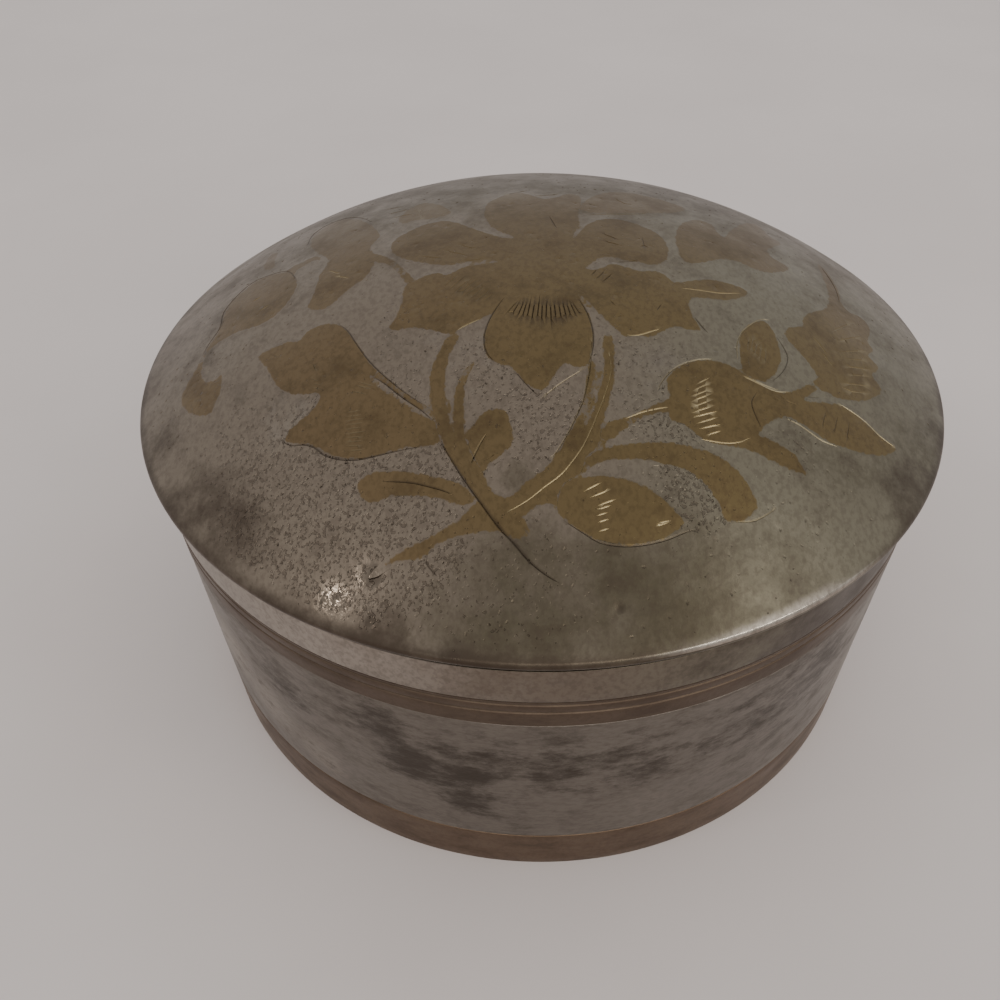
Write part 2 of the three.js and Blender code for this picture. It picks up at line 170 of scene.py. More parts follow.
# Outlines of the plates in thousandths of the lip radius: x to the right, then y to the back
SPRAY = {
    "flower": [
        [9, -488, -12, -481, -29, -465, -40, -445, -57, -426, -78, -419, -97, -408, -111, -379,
         -115, -343, -110, -306, -98, -264, -58, -192, -30, -146, 50, -145, 81, -182, 102, -235,
         112, -272, 118, -310, 119, -353, 114, -388, 105, -417, 83, -426, 61, -416, 46, -433, 23, -475],
        [-98, -264, -139, -291, -164, -305, -181, -325, -212, -315, -246, -301, -285, -291, -311, -293,
         -328, -283, -317, -255, -309, -219, -307, -177, -302, -131, -284, -123, -262, -107, -234, -100,
         -212, -112, -177, -87, -135, -74, -91, -68, -42, -70, -41, -165, -73, -228],
        [-91, -68, -136, -56, -178, -65, -218, -68, -254, -57, -292, -36, -326, -13, -352, 19, -361, 58,
         -351, 98, -326, 123, -295, 149, -258, 162, -225, 159, -153, 94, -86, 46, -54, 39, -20, -5,
         -31, -83, -65, -78],
        [-59, 45, -82, 71, -107, 95, -129, 142, -139, 200, -131, 262, -107, 298, -79, 328, -45, 333,
         16, 282, 47, 299, 76, 327, 105, 314, 108, 251, 99, 182, 99, 122, 83, 46, 80, -13, -43, -15],
        [83, 46, 96, 68, 116, 113, 147, 151, 183, 164, 220, 159, 254, 138, 286, 112, 307, 69, 310, 14,
         296, -37, 266, -57, 233, -50, 201, -47, 173, -37, 144, -45, 125, -65, 106, -92, 51, -69,
         51, 5],
        [106, -92, 124, -99, 147, -89, 171, -69, 203, -77, 235, -89, 271, -82, 291, -94, 312, -118,
         375, -91, 407, -80, 438, -81, 469, -85, 489, -101, 460, -133, 420, -155, 382, -160, 349, -170,
         339, -194, 343, -228, 352, -256, 356, -277, 329, -281, 298, -281, 270, -300, 243, -323,
         217, -321, 192, -330, 172, -311, 149, -282, 111, -224, 90, -197, 50, -165, 51, -78],
        [-64, 45, 16, 75, 85, 46, 111, -83, 94, -196, 49, -213, -62, -206, -81, -112],
    ],
    "stems": [
        [107, -422, 99, -497, 90, -533, 78, -562, 34, -643, 18, -662, -23, -694, -37, -709, -58, -719,
         -81, -712, -112, -723, -145, -747, -158, -759, -177, -767, -196, -780, -215, -789, -247, -797,
         -274, -807, -297, -820, -314, -833, -323, -844, -303, -843, -268, -828, -218, -821, -203, -810,
         -180, -799, -118, -788, -87, -784, -58, -783, -41, -772, -9, -745, 9, -734, 26, -730, 40, -739,
         44, -716, 51, -697, 71, -680, 87, -671, 99, -634, 107, -600, 96, -570, 104, -530, 113, -498,
         120, -458, 123, -423, 115, -405],
        [154, -326, 143, -336, 140, -430, 123, -505, 113, -537, 100, -569, 83, -601, 87, -643,
         123, -612, 130, -576, 157, -467, 163, -428, 164, -386, 162, -346],
        [-193, -333, -206, -364, -217, -397, -223, -429, -223, -471, -218, -511, -192, -596, -174, -630,
         -150, -668, -74, -772, -52, -792, -29, -808, -2, -821, 15, -823, 19, -811, 9, -792, -6, -774,
         -54, -728, -75, -715, -88, -703, -98, -687, -104, -671, -119, -648, -132, -622, -141, -598,
         -155, -599, -169, -576, -187, -509, -191, -474, -192, -427, -186, -384, -169, -333],
        [-133, -411, -149, -429, -161, -449, -168, -477, -171, -539, -167, -572, -161, -598, -147, -602,
         -146, -573, -150, -488, -146, -450, -135, -422],
    ],
    "left_leaf": [
        [-645, -268, -630, -256, -604, -249, -569, -248, -539, -257, -531, -243, -514, -230, -491, -225,
         -461, -232, -435, -254, -414, -286, -371, -364, -356, -401, -353, -431, -331, -454, -275, -503,
         -252, -526, -200, -560, -188, -596, -206, -603, -226, -608, -255, -604, -317, -611, -354, -613,
         -388, -607, -419, -596, -467, -561, -495, -549, -518, -542, -531, -529, -523, -511, -482, -481,
         -468, -463, -464, -443, -475, -433, -503, -427, -537, -413, -567, -389, -592, -355,
         -613, -317],
        [-394, -323, -371, -364, -345, -401, -315, -436, -282, -470, -219, -523, -201, -546, -195, -574,
         -218, -535, -245, -517, -319, -446, -347, -422, -370, -409],
    ],
    "small_leaf": [
        [-145, -602, -123, -559, -107, -541, -87, -533, -68, -536, -56, -555, -49, -582, -47, -604,
         -58, -623, -91, -651, -101, -665, -102, -681],
    ],
    "curl_leaf": [
        [-357, -676, -354, -661, -340, -651, -318, -648, -289, -650, -255, -657, -161, -685, -141, -694,
         -123, -713, -120, -726, -141, -734, -192, -714, -228, -707, -293, -701, -311, -707, -331, -706,
         -349, -693],
    ],
    "lens_leaf": [
        [43, -693, 63, -681, 91, -679, 122, -673, 154, -673, 185, -676, 213, -685, 238, -697, 259, -713,
         289, -743, 245, -778, 213, -790, 178, -797, 143, -796, 117, -791, 90, -780, 67, -767, 49, -753,
         38, -737, 36, -714],
    ],
    "long_leaf": [
        [91, -641, 111, -627, 135, -615, 208, -597, 249, -589, 289, -588, 330, -591, 367, -599,
         395, -614, 418, -636, 434, -661, 441, -685, 426, -707, 399, -722, 376, -725, 365, -710,
         358, -690, 345, -671, 324, -653, 297, -639, 263, -634, 223, -631, 178, -634, 139, -640,
         113, -652, 95, -667, 81, -670],
    ],
    "right_bud": [
        [272, -464, 272, -439, 284, -416, 309, -392, 343, -373, 379, -365, 411, -367, 476, -400,
         509, -408, 539, -400, 601, -355, 615, -360, 599, -383, 579, -407, 653, -384, 684, -387,
         717, -403, 752, -424, 790, -438, 753, -473, 711, -492, 667, -498, 625, -501, 590, -490,
         556, -476, 530, -470, 502, -484, 472, -511, 457, -534, 428, -551, 395, -565, 363, -572,
         336, -568, 301, -541, 276, -536, 269, -519, 275, -494],
        [365, -571, 428, -548, 457, -532, 508, -540, 533, -550, 547, -566, 559, -590, 541, -594,
         486, -586, 457, -576, 428, -570, 394, -572],
        [119, -614, 126, -581, 142, -562, 161, -551, 186, -542, 262, -493, 283, -485, 281, -519,
         256, -521, 231, -531, 210, -543, 189, -559, 146, -597],
    ],
    "oval_bud": [
        [443, -320, 446, -277, 463, -239, 490, -208, 513, -196, 525, -211, 534, -244, 538, -281,
         532, -322, 516, -357, 489, -391, 465, -388, 441, -381, 440, -351],
    ],
    "fan_flower": [
        [560, -217, 573, -193, 595, -179, 612, -163, 620, -133, 641, -102, 670, -76, 698, -40, 714, 8,
         723, 69, 736, 227, 752, 197, 757, 141, 757, 74, 751, 5, 769, -12, 795, -8, 810, -26, 808, -66,
         787, -117, 797, -139, 775, -176, 790, -190, 794, -208, 770, -242, 786, -276, 741, -334,
         696, -359, 660, -370, 637, -367, 601, -355, 618, -328, 610, -302, 595, -278, 565, -241],
    ],
    "right_spray": [
        [336, 84, 345, 145, 366, 199, 394, 235, 424, 247, 446, 232, 454, 182, 467, 165, 492, 222,
         525, 288, 566, 362, 596, 382, 606, 335, 619, 288, 641, 273, 605, 205, 581, 164, 589, 122,
         626, 95, 588, 46, 547, 21, 517, 23, 489, 37, 454, 35, 371, -19, 345, -18, 337, 22],
    ],
    "left_spray": [
        [-602, 210, -604, 273, -589, 326, -563, 353, -524, 348, -477, 301, -437, 238, -406, 171,
         -394, 122, -406, 93, -412, 63, -395, 25, -393, -10, -400, -49, -415, -82, -441, -106,
         -465, -140, -491, -165, -521, -160, -541, -139, -535, -107, -532, -62, -533, -12, -522, 55,
         -558, 111, -587, 164],
        [-408, 35, -373, 12, -345, -21, -321, -60, -280, -136, -292, -142, -335, -65, -358, -31,
         -401, -2],
    ],
    "left_bud": [
        [-634, 72, -604, 30, -586, -19, -589, -71, -601, -106, -621, -134, -649, -149, -683, -149,
         -719, -142, -750, -144, -779, -151, -797, -168, -796, -204, -788, -245, -768, -273, -745, -280,
         -741, -250, -723, -285, -716, -331, -723, -368, -731, -391, -763, -387, -801, -359, -829, -323,
         -840, -280, -819, -209, -801, -128, -788, -94, -791, -29, -786, 28, -763, 63, -736, 92,
         -698, 96],
        [-646, 65, -625, 92, -594, 103, -563, 109, -527, 85, -523, 61, -557, 77, -583, 73, -603, 55,
         -613, 21],
    ],
    "comma_leaf": [
        [-722, 174, -730, 238, -726, 280, -702, 258, -697, 201, -686, 145, -699, 138],
    ],
    "back_left_leaf": [
        [-364, 210, -352, 262, -332, 301, -305, 321, -270, 295, -240, 252, -226, 212, -251, 192,
         -281, 188, -317, 189, -342, 179],
    ],
    "back_right_leaf": [
        [105, 223, 128, 293, 161, 345, 201, 378, 244, 388, 287, 380, 329, 365, 388, 321, 356, 274,
         311, 244, 258, 223, 206, 207, 154, 196, 124, 198],
    ],
}

# Engraved lines: width and depth in millimetres, the strength of the glint painted on each, and its x and
# y
LINES = {
    "left_stem_line": (0.5, 0.18, 0, [-194, -598, -174, -630, -150, -668, -125, -703, -100, -735,
        -80, -761, -62, -781, -41, -801, -13, -830, 17, -852, 48, -869]),
    "right_stem_line": (0.22, 0.1, 0.7, [152, -373, 155, -428, 147, -468, 136, -506, 123, -543,
        108, -582, 91, -618, 71, -648, 51, -673, 18, -699, -15, -725, -59, -750]),
    "inner_stem_line": (0.28, 0.12, 0.3, [117, -335, 114, -383, 111, -427, 103, -472, 95, -509,
        82, -543, 66, -580, 47, -616, 28, -645]),
    "small_leaf_vein": (0.3, 0.14, 0.2, [-99, -585, -113, -610, -124, -635, -129, -651]),
    "curl_vein": (0.34, 0.15, 0, [-308, -668, -279, -672, -246, -678, -217, -687, -189, -697,
        -164, -708]),
    "petal_spur_left": (0.22, 0.08, 0, [-50, -434, -23, -471, 9, -508]),
    "petal_spur_right": (0.22, 0.08, 0.3, [9, -508, 48, -470, 107, -422]),
    "petal_left_edge": (0.3, 0.1, 0, [-73, -206, -92, -248, -108, -294, -115, -343, -107, -385,
        -89, -414]),
    "petal_right_edge": (0.3, 0.1, 0, [87, -204, 108, -259, 120, -317, 118, -371, 107, -422]),
    "lower_left_gleam": (0.3, 0.1, 0.6, [-177, -316, -152, -297, -122, -280]),
    "lower_right_spur": (0.3, 0.1, 0, [347, -234, 360, -260, 376, -285]),
    "lower_right_gleam": (0.3, 0.1, 0.6, [191, -325, 217, -321, 248, -304, 266, -294]),
    "slender_vein": (0.26, 0.1, 0.5, [324, -138, 371, -133, 418, -129, 473, -108]),
    "lens_outline": (0.3, 0.11, 0, [51, -759, 90, -780, 124, -796, 172, -799, 217, -791, 256, -778,
        286, -763, 311, -752]),
    "long_spur": (0.28, 0.1, 0.3, [392, -725, 424, -717, 449, -704, 485, -676]),
    "stalk_line": (0.26, 0.1, 0.6, [179, -547, 211, -529, 242, -516, 272, -506]),
    "bud_bottom": (0.2, 0.09, 0.6, [332, -569, 357, -569, 386, -567, 416, -558, 443, -540]),
    "bud_left": (0.26, 0.1, 0.3, [249, -468, 266, -435, 284, -410, 312, -386, 348, -367, 384, -358]),
    "bud_neck": (0.24, 0.08, 0, [469, -421, 452, -454, 459, -491, 468, -513]),
    "bud_top": (0.26, 0.1, 0.5, [438, -390, 472, -399, 511, -408, 544, -399]),
    "leaf_edge_top": (0.22, 0.1, 0.7, [658, -382, 688, -390, 722, -403, 752, -424, 792, -437]),
    "leaf_edge_bottom": (0.26, 0.1, 0.4, [523, -472, 551, -477, 579, -489, 605, -499, 639, -500]),
    "oval_left": (0.26, 0.1, 0.4, [434, -347, 436, -305, 450, -262, 476, -224, 509, -190, 529, -185]),
    "oval_right": (0.24, 0.08, 0, [535, -237, 547, -264, 554, -296, 536, -344, 500, -390]),
    "oval_bottom": (0.26, 0.1, 0.5, [438, -388, 468, -395, 494, -400, 521, -404]),
    "left_spray_outline": (0.34, 0.13, 0, [-604, 205, -610, 288, -592, 339, -561, 362, -519, 353,
        -472, 305, -428, 232]),
    "left_bud_outline": (0.34, 0.13, 0, [-588, -9, -635, 78, -687, 98, -738, 100, -773, 57, -793, 0,
        -784, -77, -800, -121, -811, -165]),
    "left_leaf_bottom": (0.34, 0.12, 0, [-549, -520, -518, -547, -486, -554, -462, -566, -438, -588,
        -401, -606, -362, -614, -321, -612, -275, -608, -226, -605]),
    "left_leaf_top": (0.28, 0.09, 0, [-457, -230, -426, -264, -400, -312, -371, -361, -340, -404,
        -306, -443, -269, -480, -232, -512]),
    "left_leaf_strand": (0.3, 0.1, 0, [-352, -418, -323, -442, -295, -471, -267, -497, -240, -520,
        -209, -552]),
    "top_petal_vein": (0.24, 0.08, 0, [26, 165, 35, 130, 45, 92]),
    "back_right_line": (0.2, 0.07, 0.2, [124, 179, 169, 193, 221, 204, 278, 223]),
    "fan_stem_line": (0.24, 0.08, 0, [738, 222, 748, 149, 750, 78, 741, -3]),
    "tail_scratch": (0.3, 0.1, 0, [-214, -824, -201, -839, -185, -855]),
}

# Short engraved strokes in groups: width, depth, painted glint, and x and y of both ends of each
HATCHES = {
    "lens": (0.22, 0.1, 0.9, [92, -706, 130, -685, 104, -717, 149, -697, 119, -731, 159, -715,
        119, -739, 149, -727, 117, -750, 142, -741, 119, -762, 144, -753, 121, -778, 144, -770,
        232, -759, 263, -746, 236, -753, 264, -743]),
    "bud": (0.24, 0.1, 0.7, [331, -441, 368, -411, 323, -458, 369, -424, 318, -474, 370, -440,
        317, -486, 371, -452, 316, -501, 371, -467, 317, -513, 372, -482, 318, -524, 375, -496,
        324, -537, 378, -509, 331, -547, 379, -526, 345, -558, 380, -541]),
    "petal_fan": (0.21, 0.1, 0, [-42, -218, -74, -276, -35, -211, -62, -286, -26, -207, -49, -296,
        -20, -203, -38, -303, -13, -200, -27, -309, -4, -196, -16, -322, 5, -196, -3, -312, 11, -196,
        8, -325, 20, -196, 18, -315, 27, -199, 31, -331, 34, -199, 42, -312, 43, -203, 55, -314,
        52, -206, 66, -301, 60, -209, 77, -297, 67, -213, 88, -284, 74, -220, 97, -277]),
    "lower_left": (0.3, 0.1, 0.15, [-214, -159, -182, -112, -203, -176, -168, -122, -193, -189,
        -151, -127, -184, -201, -137, -133, -172, -210, -125, -146, -158, -215, -116, -158, -144, -223,
        -106, -178, -128, -228, -98, -194]),
    "left_leaf": (0.2, 0.08, 0.2, [-404, -501, -365, -502, -403, -511, -359, -513, -404, -520,
        -356, -523, -403, -530, -353, -533, -402, -539, -354, -544, -401, -551, -349, -554, -400, -560,
        -352, -565, -396, -570, -349, -575, -396, -579, -352, -585, -390, -591, -347, -595, -392, -431,
        -348, -453, -384, -425, -345, -446, -397, -445, -351, -468, -497, -385, -470, -402, -491, -401,
        -459, -416, -494, -411, -463, -423, -497, -340, -481, -374, -610, -269, -578, -298]),
    "lower_right": (0.24, 0.08, 0, [119, -125, 138, -90, 129, -140, 156, -96, 143, -151, 174, -102,
        262, -236, 277, -205, 160, -212, 173, -232]),
    "upper_left": (0.24, 0.07, 0.15, [-287, -14, -220, -41, -235, 4, -161, -36, -183, -60, -113, -49,
        -201, 27, -139, -10]),
    "upper_right": (0.22, 0.07, 0, [252, 81, 254, 10, 172, -60, 238, -45, 145, 83, 196, 48, 148, 41,
        204, 19]),
    "oval": (0.22, 0.07, 0.2, [472, -255, 458, -316, 483, -245, 465, -325, 490, -262, 471, -335,
        498, -271, 481, -343, 458, -327, 459, -362, 508, -280, 495, -344]),
    "fan": (0.24, 0.1, 0.3, [690, -215, 780, -155, 701, -231, 780, -190, 685, -262, 775, -223,
        691, -284, 769, -249, 669, -321, 767, -281, 675, -341, 756, -308, 692, -179, 777, -101,
        683, -149, 774, -47, 641, -207, 659, -244, 629, -193, 649, -217, 645, -238, 667, -278]),
    "right_leaf": (0.2, 0.06, 0, [581, -396, 615, -387, 500, -424, 517, -434, 515, -414, 531, -424,
        527, -426, 558, -428, 624, -415, 606, -472, 653, -413, 633, -476, 681, -417, 660, -485]),
    "left_bud": (0.26, 0.09, 0.5, [-709, -20, -684, -11, -678, -85, -650, -69, -513, 5, -477, -31,
        -491, -33, -447, -61]),
    "back": (0.22, 0.07, 0.2, [-415, 330, -359, 327, -397, 282, -339, 288, -381, 241, -328, 243,
        -102, 314, -24, 360, -18, 306, 61, 326, -317, 284, -296, 187, 192, 318, 235, 266]),
}

# Pitted zones of the dome: middle in hundredths of the lip radius, reach, and pits to a square mm
PITTED = [
    (-48, -64, 22, 2.4), (-38, -84, 15, 2.4), (-24, -80, 14, 2.2), (-44, -50, 13, 1.9),
    (-62, -50, 14, 1.5), (-20, -65, 12, 2.2), (-30, -48, 11, 1.5), (-10, -42, 10, 1.6),
    (0, -55, 13, 1.7), (32, -67, 9, 2.6), (27, -56, 9, 2.0), (22, -42, 16, 1.2), (-26, -30, 14, 1.2),
    (-6, -88, 18, 1.0), (55, -52, 12, 0.9), (-76, -30, 20, 0.8), (60, -74, 24, 0.35),
]
PITS_ELSEWHERE = 0.16
# Single dents: place on the dome, radius and depth in millimetres
DENTS = [(-30.9, -84.0, 1.1, 0.26), (-31.5, -91.4, 0.6, 0.2), (16.1, -90.1, 0.7, 0.2),
         (49.6, -84.9, 0.4, 0.12), (-58.0, -44.0, 0.5, 0.12), (38.5, -33.0, 0.4, 0.1)]
# Darker olive patina, with painted shade for the dark reflection at the front and right of the dome: place
# on the dome, reach in millimetres, strength
OLIVE_AND_SHADE_PATCHES = [(0, -92, 12, 0.7), (22, -89, 14, 0.75), (42, -84, 11, 0.4), (-14, -94, 9, 0.5),
                 (84, -30, 13, 0.45), (90, -8, 10, 0.3), (-3, -68, 2.6, 0.5), (70, -50, 12, 0.4)]
BRIGHT_PATCHES = [(-14, -38, 9, 0.2), (24, -40, 9, 0.15), (-52, -52, 6, 0.25)]
STAIN_PATCHES = [(-74, -60, 8, 0.55), (-62, -71, 6, 0.6), (-46, -88, 4, 0.5), (-88, -38, 7, 0.35),
                 (82, -54, 7, 0.65), (70, -46, 5, 0.4), (91, -34, 5, 0.4), (-30, -94, 5, 0.5),
                 (-90, -8, 14, 0.4), (40, 60, 16, 0.4), (-50, 66, 14, 0.4), (14, -95, 8, 0.3)]
# Rubbed until it shines: place, reach in millimetres, strength
POLISHED = [(-38.7, -87.2, 2.4, 1.0), (-33, -84, 1.8, 0.8), (-31, -91, 2, 0.7), (-16, -98.4, 1.6, 1.0),
            (22, -70, 4, 0.4), (36, -48, 5, 0.3)]
# Brass worn off to pewter: place, reach in millimetres, strength
FADED_BRASS = [(1, -82, 3.2, 0.9), (-32, -84, 5, 0.45), (-13, -79, 4, 0.3), (62, -50, 8, 0.25),
               (-76, -32, 8, 0.35), (-62, -28, 5, 0.3), (-50, 20, 9, 0.35), (-70, -8, 8, 0.35)]


def engraved_strokes():
    """Every engraved stroke as a curve in millimetres, with width, depth and the strength of its painted
    glint.
    """
    made = [(on_plan(spline(knots(row))), width, depth, painted_glint)
            for width, depth, painted_glint, row in LINES.values()]
    for width, depth, painted_glint, row in HATCHES.values():
        made += [(on_plan(np.linspace(start, end, 4)), width, depth, painted_glint)
                 for start, end in knots(row).reshape(-1, 2, 2)]
    return made


OUTLINES = {name: [on_plan(spline(knots(ring), closed=True)) for ring in rings]
            for name, rings in SPRAY.items()}
STROKES = engraved_strokes()


def signed_distance(points, outline):
    """Distance to an outline, negative inside it."""
    runs = np.roll(outline, -1, axis=0) - outline
    lengths = (runs ** 2).sum(1) + 1e-12
    nearest = np.full(len(points), FAR)
    inside = np.zeros(len(points), bool)
    for (ax, ay), (dx, dy), length in zip(outline, runs, lengths):
        px, py = points[:, 0] - ax, points[:, 1] - ay
        share = np.clip((px * dx + py * dy) / length, 0, 1)
        nearest = np.minimum(nearest, (px - share * dx) ** 2 + (py - share * dy) ** 2)
        if dy:
            inside ^= ((py < 0) != (py < dy)) & (px < dx * py / dy)
    return np.where(inside, -1, 1) * np.sqrt(nearest)


def plate_distance(points, outlines):
    return np.minimum.reduce([signed_distance(points, outline) for outline in outlines])


def contour(values, xs, ys, level):
    """Closed loops where the gridded values cross the level."""
    above = values > level
    code = above[:-1, :-1] + 2 * above[:-1, 1:] + 4 * above[1:, 1:] + 8 * above[1:, :-1]
    # Cell sides: 0 bottom, 1 right, 2 top, 3 left, joined in pairs by the pattern of corners
    pairs = {1: [(3, 0)], 2: [(0, 1)], 3: [(3, 1)], 4: [(1, 2)], 5: [(3, 0), (1, 2)], 6: [(0, 2)],
             7: [(3, 2)], 8: [(2, 3)], 9: [(2, 0)], 10: [(0, 1), (2, 3)], 11: [(2, 1)],
             12: [(1, 3)], 13: [(1, 0)], 14: [(0, 3)]}
    # A side is the row and column of its first corner, and whether it runs up or along
    links = {}
    for row, column in zip(*np.nonzero((code > 0) & (code < 15))):
        sides = [(row, column, 0), (row, column + 1, 1), (row + 1, column, 0), (row, column, 1)]
        for one, other in pairs[int(code[row, column])]:
            links.setdefault(sides[one], []).append(sides[other])
            links.setdefault(sides[other], []).append(sides[one])

    def crossing(side):
        row, column, up = side
        low, high = values[row, column], values[row + up, column + 1 - up]
        step = (level - low) / (high - low) * GRID_STEP
        return (xs[column], ys[row] + step) if up else (xs[column] + step, ys[row])

    loops = []
    unused = dict.fromkeys(links)
    while unused:
        side = next(iter(unused))
        loop = []
        while side in unused:
            del unused[side]
            loop.append(crossing(side))
            side = next((other for other in links[side] if other in unused), None)
        loops.append(np.array(loop))
    return [thinned(loop) for loop in loops if len(loop) > 8]


def thinned(loop, tolerance=0.012, longest=1.2):
    """The loop with only the points that its shape needs."""
    kept = [0]
    for index in range(2, len(loop)):
        anchor = kept[-1]
        chord = loop[index] - loop[anchor]
        size = np.hypot(*chord)
        between = loop[anchor + 1:index] - loop[anchor]
        off = np.abs(between[:, 0] * chord[1] - between[:, 1] * chord[0]).max() / max(size, 1e-9)
        if off > tolerance or size > longest:
            kept.append(index - 1)
    return loop[kept]


# Plates are cut clear of the ones before them
plate_names = list(OUTLINES)
plate_spans = {name: (np.vstack(rings).min(0), np.vstack(rings).max(0))
               for name, rings in OUTLINES.items()}


def cut_distance(points, name):
    """Distance to a plate as cut: its own outlines less its earlier neighbours with a clearance."""
    own = plate_distance(points, OUTLINES[name])
    low, high = plate_spans[name]
    for other in plate_names[:plate_names.index(name)]:
        other_low, other_high = plate_spans[other]
        if (other_low < high + SPAN_MARGIN).all() and (other_high > low - SPAN_MARGIN).all():
            own = np.maximum(own, PLATE_CLEARANCE - plate_distance(points, OUTLINES[other]))
    return own


def any_plate_distance(points):
    nearest = np.full(len(points), FAR)
    for name in plate_names:
        low, high = plate_spans[name]
        near = np.nonzero(((points > low - SPAN_MARGIN) & (points < high + SPAN_MARGIN)).all(1))[0]
        if len(near):
            nearest[near] = np.minimum(nearest[near], cut_distance(points[near], name))
    return nearest


def plate_contours(name):
    """Loops of a plate's edge, of its opening, and of the worn zone inside and outside them."""
    low, high = plate_spans[name]
    xs, ys = (np.arange(low[i] - SPAN_MARGIN, high[i] + SPAN_MARGIN, GRID_STEP) for i in (0, 1))
    grid = np.stack(np.meshgrid(xs, ys), axis=-1)
    field = cut_distance(grid.reshape(-1, 2), name).reshape(grid.shape[:2])
    levels = {"edge": 0.0, "inner": -SEAM_REACH, "opening": INLAY_GAP, "outer": INLAY_GAP + SEAM_REACH}
    return {kind: contour(field, xs, ys, level) for kind, level in levels.items()}


plate_loops = {name: plate_contours(name) for name in plate_names}


def stroke_taper(count):
    """A stroke's width and depth taper to nothing at both ends."""
    return np.clip(np.sin(math.pi * np.linspace(0, 1, count)), 0, 1) ** 0.35


def grooves(points):
    """How deep each point lies in an engraved groove, in millimetres, and how strong a glint is painted
    there.
    """
    depth_here = np.zeros(len(points))
    painted_glint_here = np.zeros(len(points))
    for line, width, depth, painted_glint in STROKES:
        low, high = line.min(0) - STROKE_MARGIN, line.max(0) + STROKE_MARGIN
        near = np.nonzero(((points > low) & (points < high)).all(1))[0]
        if not len(near):
            continue
        taper = stroke_taper(len(line))
        here = points[near]
        best = np.zeros(len(near))
        for index in range(len(line) - 1):
            start, run = line[index], line[index + 1] - line[index]
            share = np.clip(((here - start) @ run) / (run @ run), 0, 1)
            gap = np.linalg.norm(here - start - share[:, None] * run, axis=1)
            size = taper[index] + (taper[index + 1] - taper[index]) * share
            best = np.maximum(best, depth * size - gap * depth / (width / 2))
        painted_glint_here[near] = np.where(best > depth_here[near], painted_glint, painted_glint_here[near])
        depth_here[near] = np.maximum(depth_here[near], best)
    return depth_here, painted_glint_here


def stroke_lines(low, high):
    """The middle and both edges of each stroke that passes through the region, as polylines."""
    lines = []
    for line, width, _, _ in STROKES:
        if (line.max(0) < low).any() or (line.min(0) > high).any():
            continue
        along = np.gradient(line, axis=0)
        along /= np.linalg.norm(along, axis=1)[:, None]
        left = np.c_[-along[:, 1], along[:, 0]] * (stroke_taper(len(line)) * width / 2)[:, None]
        lines += [line, (line + left)[1:-1], (line - left)[1:-1]]
    return lines


def pit_density(points):
    """Pits to a square millimetre, crowded in the pitted zones."""
    density = np.full(len(points), PITS_ELSEWHERE)
    for x, y, reach, crowd in PITTED:
        gap = np.hypot(*(points - on_plan((x, y))).T) / (reach * LIP_RADIUS / 100)
        density = np.maximum(density, crowd * np.exp(-gap ** 4))
    return density


def scattered_pits():
    """Middles, radii and directions of the pits, none of them too close to another."""
    random = np.random.RandomState(PIT_SEED)
    count = int(math.pi * RIM ** 2 * PITS_TRIED)
    radius = (RIM - 0.8) * np.sqrt(random.random_sample(count))
    angle = random.random_sample(count) * 2 * math.pi
    places = np.c_[radius * np.cos(angle), radius * np.sin(angle)]
    chance = random.random_sample(count) * PITS_TRIED
    size = 0.1 + 0.14 * random.random_sample(count) ** 2.5
    turn = random.random_sample(count) * math.pi
    wanted = chance < pit_density(places)
    places, size, turn = places[wanted], size[wanted], turn[wanted]
    taken, kept = {}, []
    for index, (x, y) in enumerate(places):
        cell = (int(x // PIT_SPACING), int(y // PIT_SPACING))
        around = [taken.get((cell[0] + i, cell[1] + j)) for i in (-1, 0, 1) for j in (-1, 0, 1)]
        if all(other is None or math.dist(places[other], (x, y)) >= PIT_SPACING for other in around):
            taken[cell] = index
            kept.append(index)
    places, size, turn = places[kept], size[kept], turn[kept]
    distance = any_plate_distance(places)
    clear = (np.abs(distance) > 0.36) & (grooves(places)[0] <= 0)
    # The plates keep one pit in three
    clear &= (distance >= 0) | (np.arange(len(places)) % 3 == 0)
    return places[clear], size[clear], turn[clear]


def pit_points(places, sizes, turns):
    """A middle and a ring for each pit, with the depth of each point in millimetres."""
    points, depths = [], []
    for (x, y), size, turn in zip(places, sizes, turns):
        points.append((x, y))
        for corner in range(PIT_CORNERS):
            angle = corner * 2 * math.pi / PIT_CORNERS
            along = size * PIT_LONG * math.cos(angle)
            across = size * PIT_NARROW * math.sin(angle)
            points.append((x + along * math.cos(turn) - across * math.sin(turn),
                           y + along * math.sin(turn) + across * math.cos(turn)))
        depths += [size * PIT_DEEP] + [0.0] * PIT_CORNERS
    return np.array(points).reshape(-1, 2), np.array(depths)


def dent_depth(points):
    depth = np.zeros(len(points))
    for x, y, radius, deep in DENTS:
        gap = np.hypot(*(points - on_plan((x, y))).T) / radius
        depth = np.maximum(depth, deep * np.clip(1 - gap ** 2, 0, 1))
    return depth


def dent_points():
    """Two ragged rings and a middle for each dent."""
    random = np.random.RandomState(DENT_SEED)
    points = []
    for x, y, radius, _ in DENTS:
        middle = on_plan((x, y))
        points.append(middle)
        for share, count in ((0.5, 6), (0.98, 11)):
            for corner in range(count):
                angle = corner * 2 * math.pi / count
                reach = radius * share * (0.86 + 0.28 * random.random_sample())
                points.append(middle + reach * np.array([math.cos(angle), math.sin(angle)]))
    return np.array(points)


PIT_PLACES, PIT_SIZES, PIT_TURNS = scattered_pits()


def pits_within(mask):
    return pit_points(PIT_PLACES[mask], PIT_SIZES[mask], PIT_TURNS[mask])


